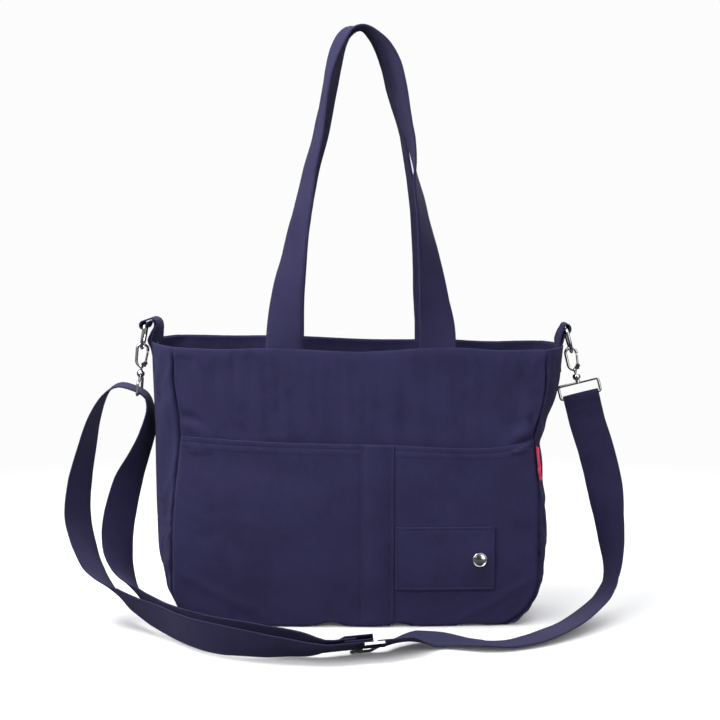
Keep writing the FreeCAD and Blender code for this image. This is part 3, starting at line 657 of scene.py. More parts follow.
def outer_band():
    deep = np.sin(np.linspace(-1, 1, 49) * 1.25) / math.sin(1.25)
    side_rows = rows[1:]
    left = LEFT.at(*np.meshgrid(side_rows[::-1], deep, indexing="ij"))
    under = UNDER.at(*np.meshgrid(np.linspace(0, UNDER.rows[-1], 110), deep, indexing="ij"))
    right = RIGHT.at(*np.meshgrid(side_rows, deep, indexing="ij"))
    p = np.concatenate([left, under, right])
    n = grid_normals(p)
    t = np.broadcast_to(deep, p.shape[:2])
    z = p[..., 2].copy()
    fade = smooth((1 - np.abs(t)) * 50 / 14) * smooth((RIM + 2 - z) / 14) * smooth((z - 2) / 20)
    p = undulate(p, n, 2.2, 5.5, fade)
    x, y = p[..., 0], p[..., 1]
    side = np.where(x < 0, -1.0, 1.0) * fade
    crease = np.where(x > 0, -4.0 * hill(z, 190, 6) + 1.5 * hill(z, 204, 8) - 2.2 * hill(z + 0.3 * y, 52, 7),
                      -2.0 * hill(z + 0.45 * y, 222, 8) + 1.2 * hill(z + 0.45 * y, 238, 8)
                      - 1.2 * hill(z - 0.3 * y, 128, 12))
    p[..., 0] += crease * side * (0.6 + 0.4 * lumps(p, 60.0, 21.0))
    seen = p[..., 0] / (1 + p[..., 1] / 2000)
    middle = np.where(p[:, 24, 0] < 0, seen.min(axis=1), seen.max(axis=1))
    height = p[:, 24, 2]
    want = np.where(middle < 0, -outline_at("left", height), outline_at("right", height))
    count = len(side_rows)
    shift = np.zeros(len(p))
    shift[:count] = (want - middle)[:count]
    shift[-count:] = (want - middle)[-count:]
    shift *= smooth((height - 1) / 12)
    p[..., 0] += shift[:, None] * (1 - t ** 2) ** 0.8
    edge = (1 - np.abs(t)) * 50
    hemmed = 0.2 + 0.8 * smooth((285 - z) / 12)
    p = p - n * (hemmed * seam_dent(edge))[..., None]
    roll = 4.2 * seam_curl(edge) - 1.5 * hill(edge, 4.4, 2.2)
    p[..., 1] -= np.sign(t) * roll * hemmed * smooth(z / 10)
    p = drape(p)
    p[..., 2] = np.maximum(p[..., 2], 0.3)
    return p


front_outer = outer_front()
back_outer = outer_back()
band_outer = outer_band()
front_outer[..., 2] = np.maximum(front_outer[..., 2], 0.3)
back_outer[..., 2] = np.maximum(back_outer[..., 2], 0.3)


build = Build()
sheet(build, front_outer, 1.9, 0, uv=plain_uv(front_outer))
build.make("front_panel_cloth", [CANVAS, THREAD], "bag", ["front_panel"])

build = Build()
sheet(build, back_outer, 1.9, 0, flip=True, uv=plain_uv(back_outer))
build.make("back_panel_cloth", [CANVAS, THREAD], "bag", ["back_panel"])

build = Build()
run = np.concatenate([[0], np.cumsum(np.linalg.norm(np.diff(band_outer[:, 24], axis=0), axis=1))])
band_uv = np.stack(np.meshgrid(50 * np.sin(np.linspace(-1, 1, 49) * 1.25) / math.sin(1.25), run), axis=-1)
sheet(build, band_outer, 1.9, 0, uv=band_uv)
build.make("gusset_cloth", [CANVAS], "bag", ["gusset_band"])


# ---------------------------------------------------------------- rim facing and lining
HANDLE_XS = {-1: (-75.5, 82.5), 1: (-77.0, 80.5)}


def loop_points(z, count_face=61, count_side=21):
    s = np.linspace(-1, 1, count_face)
    t = np.linspace(-1, 1, count_side)
    parts = [FRONT.at(z, s)[:-1], RIGHT.at(z, t)[:-1], BACK.at(z, s[::-1])[:-1], LEFT.at(z, t[::-1])[:-1]]
    return np.concatenate(parts)


def loop_wall(heights, inset_of, seed, amount):
    """Closed wall inside the bag; columns run round from the left end of the front; inset is along the outline's normal."""
    grid = []
    for z in heights:
        pts = loop_points(z)
        after, before = np.roll(pts, -3, axis=0), np.roll(pts, 3, axis=0)
        way = unit((after - before) * np.array([1, 1, 0]))
        inward = np.stack([-way[:, 1], way[:, 0], np.zeros(len(pts))], axis=-1)
        corner = np.linalg.norm(after - before, axis=1) / (np.linalg.norm(after - pts, axis=1)
                                                         + np.linalg.norm(pts - before, axis=1))
        grow = 1 / np.clip(corner, 0.75, 1)
        grid.append(pts + inward * (inset_of(pts, z) * grow)[:, None])
    grid = np.array(grid)
    middle = np.array([0, 0, 150.0])
    inward = unit((middle - grid) * np.array([0.35, 1.0, 0]))
    wave = np.maximum(lumps(grid, 42.0, seed) + 0.4 * lumps(grid, 17.0, seed + 3), -0.3) + 0.3
    grid = grid + inward * (amount * wave)[..., None]
    start = len(grid[0]) - 10
    grid = np.roll(grid, -start, axis=1)
    return drape(np.concatenate([grid, grid[:, :1]], axis=1))


def facing_inset(pts, z):
    inset = np.full(len(pts), 2.7 + 0.9 * float(smooth((z - 281) / 7)))
    top = 0.55 + 0.45 * smooth((RIM - z) / 6)
    for sign, xs in HANDLE_XS.items():
        on_face = (pts[:, 1] * sign) > 25
        for x in xs:
            bump = smooth((24 - np.abs(pts[:, 0] - x)) / 4)
            inset = inset + np.where(on_face, 2.9 * bump * top, 0)
    hemmed = 0.2 + 0.8 * float(smooth((285 - z) / 12))
    for surface in (FRONT, BACK):
        for end in (-1.0, 1.0):
            away = np.linalg.norm(pts - surface.at(z, end), axis=1)
            inset = inset + 4.2 * hemmed * hill(away, 0, 7.5)
    side = (np.abs(pts[:, 1]) < 40) & (np.abs(pts[:, 0]) > 150)
    return inset + np.where(side, 3.4 * smooth((16 - np.abs(pts[:, 1])) / 4) * top, 0)


facing = loop_wall(np.concatenate([np.linspace(249, 284, 13), [286.2, 287.4]]), facing_inset, 4.0, 0.25)
build = Build()
facing_run = np.concatenate([[0], np.cumsum(np.linalg.norm(np.diff(facing[7], axis=0), axis=1))])
facing_uv = np.stack(np.meshgrid(facing_run, facing[:, 0, 2]), axis=-1)
sheet(build, facing[:, ::-1], 1.1, 0, uv=facing_uv, flip=True)
facing_n = grid_normals(facing)
stitches(build, facing[1] + facing_n[1] * 0.0, facing_n[1], 1)
build.make("rim_facing_cloth", [CANVAS, THREAD], "bag", ["rim_facing"])

lining = loop_wall(np.linspace(9.5, 263, 44), lambda pts, z: np.full(len(pts), 6.6), 14.0, 2.2)
build = Build()
lining_run = np.concatenate([[0], np.cumsum(np.linalg.norm(np.diff(lining[20], axis=0), axis=1))])
lining_uv = np.stack(np.meshgrid(lining_run, lining[:, 0, 2]), axis=-1)
sheet(build, lining[:, ::-1], 0.7, 0, uv=lining_uv, flip=True)
xs = np.linspace(-0.86, 0.84, 90)
ys = np.linspace(-0.93, 0.93, 30)
floor_low = np.zeros((30, 90, 3))
for a, ty in enumerate(ys):
    for b, tx in enumerate(xs):
        z = 8.2 + 0.6 * noise.noise(Vector((tx * 6, ty * 3, 2.0)))
        half = 178 - 14 * abs(ty) ** 6
        floor_low[a, b] = (-3 + tx * half, ty * 43, z + 9.0 * smooth((abs(tx) - 0.74) / 0.12) ** 2)
sheet(build, floor_low, 0.7, 0, uv=floor_low[..., :2])
build.make("lining_cloth", [LINING], "bag", ["lining"])


# ---------------------------------------------------------------- front pocket, pleat strip and flap
def read(grid, rest_z, rest_s, z, s):
    """Bilinear reading of a grid kept at rest heights and shares."""
    z, s = np.broadcast_arrays(np.asarray(z, float), np.asarray(s, float))
    r = np.interp(z, rest_z, np.arange(len(rest_z)))
    c = np.interp(s, rest_s, np.arange(len(rest_s)))
    i = np.clip(np.floor(r).astype(int), 0, len(rest_z) - 2)
    j = np.clip(np.floor(c).astype(int), 0, len(rest_s) - 2)
    fr, fc = (r - i)[..., None], (c - j)[..., None]
    low = grid[i, j] * (1 - fc) + grid[i, j + 1] * fc
    high = grid[i + 1, j] * (1 - fc) + grid[i + 1, j + 1] * fc
    return low * (1 - fr) + high * fr


def pocket_top(x):
    keys = ((-190, 200.5), (-150, 198), (-110, 195.8), (-59, 194), (0, 193), (38, 192), (85, 189.4), (126, 188),
            (150, 189.2), (168, 192), (190, 197.5))
    xs, zs = zip(*keys)
    return sum(np.interp(np.asarray(x, float) + k, xs, zs) for k in (-14, -7, 0, 7, 14)) / 5.0


STRIP_LEFT, STRIP_RIGHT = 3.5, 37.5
FLAP_LEFT, FLAP_RIGHT, FLAP_LOW, FLAP_TOP = 39.0, 141.5, 41.0, 107.0
SNAP_X, SNAP_Z = 126.0, 73.0


def pocket_y(x, z, s, top):
    """Outer face of the pocket in front of the settled panel."""
    base = -shape_at("depth", z) - 1.8 - (shape_at("front_bow", z) + 4.0) * (1 - s * s)
    p = np.stack([x, np.zeros_like(x), z], axis=-1)
    calm = 1 - 0.92 * np.exp(-(((x - SNAP_X) / 26) ** 2 + ((z - SNAP_Z) / 26) ** 2))
    fade = seam_fade(s, width=20.0) * smooth(z / 14) * calm
    sewn = np.exp(-((x - STRIP_LEFT - 2) / 7.0) ** 2) + np.exp(-((x - STRIP_RIGHT + 2) / 7.0) ** 2)
    wave = 1.5 * lumps(p, 78.0, 31.0) + 0.7 * lumps(p, 33.0, 37.0) + 0.28 * lumps(p, 13.0, 41.0)
    off = wave * fade * (1 - 0.7 * np.clip(sewn, 0, 1)) - 1.2 * np.clip(sewn, 0, 1) * smooth(z / 20)
    edge = smooth((z - top + 34) / 34)
    off += edge * (1.3 * np.exp(-((x + 95) / 50.0) ** 2) + 1.1 * np.exp(-((x - 100) / 40.0) ** 2)) * calm
    diag = (x + 150) * 0.5 + (z - 30)
    off += 1.3 * np.exp(-((diag - 8) / 7.0) ** 2) * smooth((-60 - x) / 60) * fade
    diag = (150 - x) * 0.6 + (z - 22)
    off += 1.2 * np.exp(-((diag - 10) / 6.5) ** 2) * smooth((x - 60) / 60) * fade
    off -= 1.0 * np.exp(-((x + 26 + 0.10 * z) / 8.0) ** 2) * smooth((70 - z) / 60) * smooth(z / 10)
    off -= 0.9 * np.exp(-((x - 46 + 0.12 * z) / 7.0) ** 2) * smooth((60 - z) / 50) * smooth(z / 10)
    beneath = read(front_outer, rows, shares, z, s)[..., 1]
    want = base - off
    limit = beneath - 2.1
    return np.minimum(want, limit)


cols_s = np.sin(np.linspace(-1, 1, 171) * math.pi / 2 * 0.8) / math.sin(math.pi / 2 * 0.8) * 0.991
drops = [0, 0.7, 1.6, 2.6, 3.6, 4.3, 5.0, 5.7, 6.4, 7.6, 9.0, 10.2, 11.0, 11.8, 13.0, 15.0, 17.5, 20.0]
fall = np.concatenate([drops, 20.0 + (1 - np.linspace(1, 0, 62)[1:]) * 1000])


def pocket_grid():
    s = cols_s
    x_top = 0.5 * (-seam_half("left", 192, 0) + seam_half("right", 192, 0))
    x_half = 0.5 * (seam_half("left", 192, 0) + seam_half("right", 192, 0))
    top = pocket_top(x_top + x_half * s)
    z = np.zeros((len(fall), len(s)))
    for i, d in enumerate(fall):
        z[i] = top - d if d <= 20 else (top - 20) + (1.2 - (top - 20)) * (d - 20) / 1000.0
    z = z[::-1]
    d = (top[None, :] - z)
    left, right = -seam_half("left", z, 0), seam_half("right", z, 0)
    x = 0.5 * (left + right) + 0.5 * (right - left) * s
    y = pocket_y(x, z, np.broadcast_to(s, z.shape), top)
    edge = (0.992 - np.abs(np.broadcast_to(s, z.shape))) * 190
    side_roll = 1.0 * np.exp(-(edge / 4.5) ** 2) + 2.6 * seam_curl(edge)
    x = x - np.sign(s) * 0.9 * seam_curl(edge)
    hem = 0.25 * smooth((11.6 - d) / 1.2) - side_roll
    groove = 0.5 * np.exp(-((d - 5.0) / 0.8) ** 2) + 0.06 * np.exp(-((d - 11.4) / 0.7) ** 2)
    pucker = 0.22 * lumps(np.stack([x * 1.0, z * 0.25, 0 * x], -1), 5.5, 51.0) * np.exp(-((d - 6) / 5.0) ** 2)
    y = y - hem + groove - pucker
    return drape(np.stack([x, y, z], axis=-1)), z, top


pocket, pocket_z, pocket_tops = pocket_grid()
pocket[..., 2] = np.maximum(pocket[..., 2], 0.3)
pocket_n = grid_normals(pocket)


def on_pocket(x, z):
    """Point and normal on the pocket's outer face at rest place (x, z)."""
    x, z = np.broadcast_arrays(np.asarray(x, float), np.asarray(z, float))
    pts, ups = np.zeros(x.shape + (3,)), np.zeros(x.shape + (3,))
    s = share_of(x, z)
    c = np.interp(s, cols_s, np.arange(len(cols_s)))
    j = np.clip(np.floor(c).astype(int), 0, len(cols_s) - 2)
    f = c - j
    for k in np.ndindex(x.shape):
        for col, w in ((j[k], 1 - f[k]), (j[k] + 1, f[k])):
            r = np.interp(z[k], pocket_z[:, col], np.arange(len(pocket_z)))
            i = min(int(r), len(pocket_z) - 2)
            g = r - i
            pts[k] += w * ((1 - g) * pocket[i, col] + g * pocket[i + 1, col])
            ups[k] += w * ((1 - g) * pocket_n[i, col] + g * pocket_n[i + 1, col])
    return pts, unit(ups)


def carve(build_in, cutter_points, cutter_faces):
    """Cuts one solid out of a closed sheet and hands back plain vertices and faces."""
    parts = []
    for label, (verts, faces) in (("sheet_tmp", (build_in.verts, build_in.faces)),
                                  ("cutter_tmp", (cutter_points, cutter_faces))):
        mesh = bpy.data.meshes.new(label)
        mesh.from_pydata([tuple(v) for v in verts], [], faces)
        obj = bpy.data.objects.new(label, mesh)
        bpy.context.scene.collection.objects.link(obj)
        parts.append(obj)
    mod = parts[0].modifiers.new("cut", "BOOLEAN")
    mod.object, mod.operation, mod.solver = parts[1], "DIFFERENCE", "EXACT"
    done = parts[0].evaluated_get(bpy.context.evaluated_depsgraph_get()).to_mesh()
    verts = [tuple(v.co) for v in done.vertices]
    faces = [tuple(p.vertices) for p in done.polygons]
    for obj in parts:
        bpy.data.objects.remove(obj)
    return verts, faces


def slot_outline(x0, x1, z0, z1, r, steps=6):
    out = []
    for cx, cz, a0 in ((x1 - r, z1 - r, 0), (x0 + r, z1 - r, 90), (x0 + r, z0 + r, 180), (x1 - r, z0 + r, 270)):
        for k in range(steps + 1):
            a = math.radians(a0 + 90 * k / steps)
            out.append((cx + r * math.cos(a), cz + r * math.sin(a)))
    return out


build = Build()
sheet(build, pocket, 1.6, 0, uv=plain_uv(pocket))
hole = slot_outline(56, 106, 54, 94, 8)
near = [(x, -40.0, z) for x, z in hole]
far = [(x, -90.0, z) for x, z in hole]
m = len(hole)
cutter_faces = [(k, (k + 1) % m, m + (k + 1) % m, m + k) for k in range(m)]
cutter_faces += [tuple(range(m - 1, -1, -1)), tuple(range(m, 2 * m))]
cut_verts, cut_faces = carve(build, near + far, cutter_faces)
build = Build()
build.add(cut_verts, cut_faces, [(v[0], v[2]) for v in cut_verts], 0)
hem_line, hem_up = [], []
for j in range(2, len(cols_s) - 2):
    z = pocket_tops[j] - 5.0
    hem_line.append([np.interp(z, pocket_z[:, j], pocket[:, j, c]) for c in range(3)])
    hem_up.append([np.interp(z, pocket_z[:, j], pocket_n[:, j, c]) for c in range(3)])
stitches(build, np.array(hem_line), unit(np.array(hem_up)), 1)
ring_x = np.array([0.5 * (56 + 106) + (x - 81) * (25 + 3.2) / 25 for x, z in hole] + [0])
ring_z = np.array([74 + (z - 74) * (20 + 3.2) / 20 for x, z in hole] + [0])
ring_x[-1], ring_z[-1] = ring_x[0], ring_z[0]
ring_pts, ring_ups = on_pocket(ring_x, ring_z)
stitches(build, ring_pts, ring_ups, 1)
build.make("pocket_cloth", [CANVAS, THREAD], "bag", ["front_pocket_panel"])


def strip_lift(x, z):
    t = (x - STRIP_LEFT) / (STRIP_RIGHT - STRIP_LEFT)
    edge = np.minimum(t, 1 - t) * (STRIP_RIGHT - STRIP_LEFT)
    p = np.stack([x, 0 * x, z], axis=-1)
    body = 1.1 + 0.3 * smooth((edge - 2.5) / 7) + 0.25 * lumps(p, 18.0, 61.0) * smooth((edge - 3) / 5)
    return body - 0.35 * np.exp(-((edge - 2.4) / 0.7) ** 2)


def edge_rows(count, total):
    """Positions from 0 to 1 with extra rows near both ends, so that edge stitching dents show."""
    ends = [0, 0.6, 1.2, 1.8, 2.4, 3.0, 3.8, 5.0, 7.0]
    middle = np.linspace(10, total - 10, count)
    return np.concatenate([ends, middle, [total - e for e in ends[::-1]]]) / total


def patch(x0, x1, z0, z1, count_x, count_z, lift):
    xs = x0 + (x1 - x0) * edge_rows(count_x, x1 - x0)
    z_top = pocket_top(xs) + 0.2 if z1 is None else np.full(len(xs), z1)
    if z1 is None:
        v = np.linspace(0, 1, count_z)[:, None]
    else:
        v = edge_rows(count_z, z1 - z0)[:, None]
    z = z0 + (z_top[None, :] - z0) * v
    x = np.broadcast_to(xs, z.shape)
    pts, ups = on_pocket(x, np.minimum(z, pocket_top(x)))
    pts = pts + ups * lift(x, z)[..., None]
    pts[..., 2] += np.maximum(z - pocket_top(x), 0)
    return pts, x, z


def inset_line(grid, x, z, spots):
    """Points on a patch grid along rest places (x, z), with normals."""
    n = grid_normals(grid)
    pts, ups = [], []
    for px, pz in spots:
        c = np.interp(px, x[0], np.arange(x.shape[1]))
        j = min(int(c), x.shape[1] - 2)
        f = c - j
        p, u = np.zeros(3), np.zeros(3)
        for col, w in ((j, 1 - f), (j + 1, f)):
            p += w * np.array([np.interp(pz, z[:, col], grid[:, col, k]) for k in range(3)])
            u += w * np.array([np.interp(pz, z[:, col], n[:, col, k]) for k in range(3)])
        pts.append(p)
        ups.append(u)
    return np.array(pts), unit(np.array(ups))


strip_pts, strip_x, strip_z = patch(STRIP_LEFT, STRIP_RIGHT, 2.0, None, 14, 66, strip_lift)
strip_pts[..., 2] = np.maximum(strip_pts[..., 2], 0.3)
build = Build()
sheet(build, strip_pts, 1.0, 0, uv=plain_uv(strip_pts))
for px in (STRIP_LEFT + 2.4, STRIP_RIGHT - 2.4):
    spots = [(px, z) for z in np.linspace(4, 189, 90)]
    stitches(build, *inset_line(strip_pts, strip_x, strip_z, spots), 1)
build.make("pleat_strip_cloth", [CANVAS, THREAD], "bag", ["pocket_divider"])


def flap_lift(x, z):
    """Face of the flap over the pocket: flat on the stitched left edge, held off by the snap, corners curling."""
    from_left = x - FLAP_LEFT
    gap = 0.15 + 0.25 * smooth(from_left / 50)
    near = np.exp(-np.maximum(np.hypot(x - SNAP_X, z - SNAP_Z) - 6, 0) ** 2 / 15.0 ** 2)
    p = np.stack([x, 0 * x, z], axis=-1)
    gap = gap * (1 - near) + 2.6 * near
    free = smooth(from_left / 40)
    wave = (0.55 * lumps(p, 34.0, 71.0) + 0.3 * lumps(p, 14.0, 77.0)) * free * (1 - near)
    corner = smooth((x - 118) / 26) * (smooth((z - 90) / 18) + smooth((58 - z) / 18))
    low_edge = 0.3 * smooth((52 - z) / 14) * free
    edge = np.minimum.reduce([x - FLAP_LEFT, FLAP_RIGHT - x, z - FLAP_LOW, FLAP_TOP - z])
    dent = 0.42 * np.exp(-((edge - 3.0) / 0.7) ** 2)
    return 1.5 + np.maximum(gap + wave + 0.2 * corner + low_edge, 0.15) - dent


flap_pts, flap_x, flap_z = patch(FLAP_LEFT, FLAP_RIGHT, FLAP_LOW, FLAP_TOP, 38, 22, flap_lift)
build = Build()
sheet(build, flap_pts, 1.4, 0, uv=plain_uv(flap_pts))
e = 3.0
box = [(FLAP_LEFT + e, FLAP_TOP - e), (FLAP_RIGHT - e, FLAP_TOP - e), (FLAP_RIGHT - e, FLAP_LOW + e),
       (FLAP_LEFT + e, FLAP_LOW + e)]
for a, b in zip(box, box[1:]):
    steps = np.linspace(0, 1, 40)
    spots = [(a[0] + (b[0] - a[0]) * t, a[1] + (b[1] - a[1]) * t) for t in steps]
    stitches(build, *inset_line(flap_pts, flap_x, flap_z, spots), 1)
flap_obj = build.make("wipes_flap_cloth", [CANVAS, THREAD], "flap", ["wipes_flap"])


# ---------------------------------------------------------------- red side label
seam_z = np.linspace(155, 189, 24)
seam_pts = RIGHT.at(seam_z, np.full(24, -1.0))
build = Build()
label_grid = np.zeros((24, 9, 3))
for i in range(24):
    for j in range(9):
        t = j / 8.0
        curl = 0.5 * math.sin(3.0 * t) + 0.25 * math.sin(i * 0.35) * t
        label_grid[i, j] = (seam_pts[i, 0] - 0.9 + 1.9 * t + curl * 0.3, seam_pts[i, 1] + 1.5 - 6.6 * t + curl * 0.4,
                            seam_z[i])
label_uv = np.stack(np.meshgrid(np.linspace(0, 6.5, 9), seam_z), axis=-1)
sheet(build, label_grid, 0.9, 0, uv=label_uv)
label_n = grid_normals(label_grid)
for i in (2, 21):
    stitches(build, label_grid[i] + label_n[i] * 0.1, label_n[i], 1, pitch=1.6, length=1.2, radius=0.16)
build.make("side_label_cloth", [LABEL, RED_THREAD], "bag", ["side_label"])


# ---------------------------------------------------------------- swept bands: handles, strap, tabs
def smooth_stations(keys, step):
    """Finer stations through key rows of (x, y, z, edge x, edge y, edge z)."""
    keys = np.asarray(keys, float)
    out = []
    for i in range(len(keys) - 1):
        p0, p1 = keys[max(i - 1, 0), :3], keys[i, :3]
        p2, p3 = keys[i + 1, :3], keys[min(i + 2, len(keys) - 1), :3]
        span = np.linalg.norm(p2 - p1)
        count = max(2, int(round(span / step)))
        m1 = (p2 - p0) * (span / max(np.linalg.norm(p2 - p0), 1e-6))
        m2 = (p3 - p1) * (span / max(np.linalg.norm(p3 - p1), 1e-6))
        for k in range(count):
            t = k / count
            spot = (p1 * (2 * t ** 3 - 3 * t ** 2 + 1) + m1 * (t ** 3 - 2 * t ** 2 + t)
                    + p2 * (-2 * t ** 3 + 3 * t ** 2) + m2 * (t ** 3 - t ** 2))
            out.append(np.concatenate([spot, keys[i, 3:] * (1 - t) + keys[i + 1, 3:] * t]))
    out.append(keys[-1])
    return np.array(out)


def band_outline(width, cloth, stitch_in, dent):
    """Cross-section of a folded band: face dented along two stitch lines, edges rounded over."""
    half, r = 0.5 * width, 0.5 * cloth
    inner = half - r
    line = half - stitch_in
    us = [inner, inner - 0.8, line + 0.7, line, line - 0.7, line - 2.0, line - 5.0, 4.0]
    us = us + [-u for u in us[::-1]]
    face = [(u, r + 0.12 * (1 - (u / half) ** 2) - dent * math.exp(-((abs(u) - line) / 0.6) ** 2)) for u in us]
    edge = [(-inner - r * math.sin(a), r * math.cos(a)) for a in np.linspace(0, math.pi, 7)[1:-1]]
    back_face = [(-u, -v) for u, v in face]
    other = [(inner + r * math.sin(a), -r * math.cos(a)) for a in np.linspace(0, math.pi, 7)[1:-1]]
    return np.array(face + edge + back_face + other)


def sweep_band(build, stations, width, cloth, seed, wave=0.5, stitch_in=2.6, faces_stitched=(1, -1), calm=None,
               stitch_rows=True):
    centre, edge = stations[:, :3], stations[:, 3:]
    way = unit(np.gradient(centre, axis=0))
    across = unit(edge - way * np.sum(edge * way, axis=1, keepdims=True))
    normal = np.cross(way, across)
    run = np.concatenate([[0], np.cumsum(np.linalg.norm(np.diff(centre, axis=0), axis=1))])
    outline = band_outline(width, cloth, stitch_in, 0.32)
    count = len(outline)
    calm = np.ones(len(centre)) if calm is None else calm
    rings = np.zeros((len(centre), count, 3))
    for i in range(len(centre)):
        for k, (u, v) in enumerate(outline):
            near = math.exp(-((abs(u) - (0.5 * width - stitch_in)) / 2.2) ** 2)
            shift = wave * noise.noise(Vector((run[i] / 38.0 + seed, u / 30.0, 0.0)))
            pucker = 0.22 * near * noise.noise(Vector((run[i] / 4.2, u / 12.0, seed)))
            side = 0.35 * noise.noise(Vector((run[i] / 24.0, 3.0 + math.copysign(1, u), seed)))
            side *= abs(u) / (0.5 * width)
            c = calm[i]
            off = v + shift * c + pucker * (1 if v > 0 else -1) * c
            rings[i, k] = centre[i] + across[i] * (u + math.copysign(side, u) * c) + normal[i] * off
    start = len(build.verts)
    verts = rings.reshape(-1, 3)
    peri = np.concatenate([[0], np.cumsum(np.linalg.norm(np.diff(outline, axis=0), axis=1))])
    uvs = [(peri[k], run[i]) for i in range(len(centre)) for k in range(count)]
    faces = grid_faces(len(centre), count, wrap=True, flip=True)
    faces.append(tuple(range(count)))
    faces.append(tuple(range(len(centre) * count - 1, (len(centre) - 1) * count - 1, -1)))
    way_sign = np.dot(np.cross(rings[1, 1] - rings[1, 0], rings[2, 0] - rings[1, 0]), normal[1])
    if way_sign < 0:
        faces = [f[::-1] for f in faces]
        faces = [f for f in faces]
    fixed = []
    for f in faces:
        fixed.append(f[::-1])
    build.add(verts, fixed if way_sign > 0 else faces, uvs, 0)
    if stitch_rows:
        line = 0.5 * width - stitch_in
        for face in faces_stitched:
            for u in (-line, line):
                shift = np.array([wave * noise.noise(Vector((r / 38.0 + seed, u / 30.0, 0.0))) for r in run])
                off = face * (0.5 * cloth - 0.10) + shift * calm
                pts = centre + across * u + normal * off[:, None]
                stitches(build, pts, normal * face, 1)
    return centre, across, normal, run


FRONT_LEFT_LEG = ((-75.5, -49.4, 290, 0), (-75, -48, 312, 10), (-73, -45, 338, 24), (-66, -40, 383, 48),
                  (-58, -36, 427, 62), (-49, -32, 472, 69), (-41, -28, 507, 73), (-36, -26, 535, 76),
                  (-32, -24, 560, 78), (-27, -22, 583, 77), (-19, -20, 604.5, 73), (-9.5, -19.5, 616.8, 71))
FRONT_RIGHT_LEG = ((82.5, -49.4, 290, 0), (82, -48, 312, 16), (79, -45, 338, 34), (73.5, -40, 383, 55),
                   (66.8, -36, 427, 71), (60.5, -33, 461, 81), (58.2, -31, 484, 91), (54.2, -29, 505, 101),
                   (49.5, -27, 525, 108), (43.5, -24, 556, 113), (37, -22, 580, 116), (27, -20, 600.5, 115),
                   (15, -19.5, 613.2, 110))
BACK_LEFT_LEG = ((-77, 47.6, 290, 0), (-76.5, 47, 312, 12), (-74.5, 45, 338, 24), (-67.5, 41, 383, 48),
                 (-59, 37, 427, 60), (-49, 33, 472, 66), (-40, 30, 507, 69), (-33, 28, 538, 70),
                 (-28, 26, 560, 71), (-22.5, 24, 585, 74), (-14, 22, 608.5, 80), (-5, 21, 617.5, 86))
BACK_RIGHT_LEG = ((80.5, 47.6, 290, 0), (80, 47, 312, 12), (77.5, 45, 338, 24), (72, 41, 383, 48),
                  (64.5, 37, 427, 68), (56.5, 33.5, 463, 82), (47.8, 30, 507, 87), (39.5, 28, 538, 83),
                  (34, 26, 560, 79), (28.3, 24, 584, 77), (20, 22, 604, 80), (11, 21, 615, 86))


def tail_rows(leg, sign):
    """Rows of the sewn end, down between the outer cloth and the facing."""
    x = leg[0][0]
    outer = front_outer if sign < 0 else back_outer
    out = []
    for z in (243, 258, 272, 281):
        spots = x + np.linspace(-19, 19, 9)
        y = sign * read(outer, rows, shares, np.full(9, float(z)), share_of(spots, z))[:, 1]
        out.append((x, sign * (float(y.min()) - 3.5), z, 0))
    return tuple(out)


def handle_keys(left_leg, top, right_leg, sign):
    keys = []
    for x, y, z, turn in tail_rows(left_leg, sign) + left_leg + (top,):
        a = math.radians(turn)
        keys.append((x, y, z, math.cos(a), sign * math.sin(a), 0))
    for x, y, z, turn in reversed(tail_rows(right_leg, sign) + right_leg):
        a = math.radians(turn)
        keys.append((x, y, z, -math.cos(a), sign * math.sin(a), 0))
    return keys


def make_handle(name, keys, nodes, seed):
    stations = smooth_stations(keys, 4.0)
    calm = smooth((stations[:, 2] - 286) / 40) * 0.9 + 0.1
    build = Build()
    sweep_band(build, stations, 38.0, 2.6, seed, wave=1.3, calm=calm)
    obj = build.make(name, [BAND, THREAD], None, nodes)
    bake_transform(obj)
    return obj


make_handle("handle_front_cloth", handle_keys(FRONT_LEFT_LEG, (2.5, -19.5, 619.6, 74), FRONT_RIGHT_LEG, -1),
            ["handle_front", "handle_front_ends"], 1.5)
make_handle("handle_back_cloth", handle_keys(BACK_LEFT_LEG, (3.5, 21, 620.2, 90), BACK_RIGHT_LEG, 1),
            ["handle_back", "handle_back_ends"], 8.5)


# ring tabs: a folded loop of cloth round each D-ring's straight bar
RING_BAR = {"left": (-223.0, 311.5), "right": (219.0, 307.0)}


TAB_LOOP = {"left": (3.7, 3.5, 0.4, 27.0), "right": (4.6, 3.6, 0.8, 10.0)}


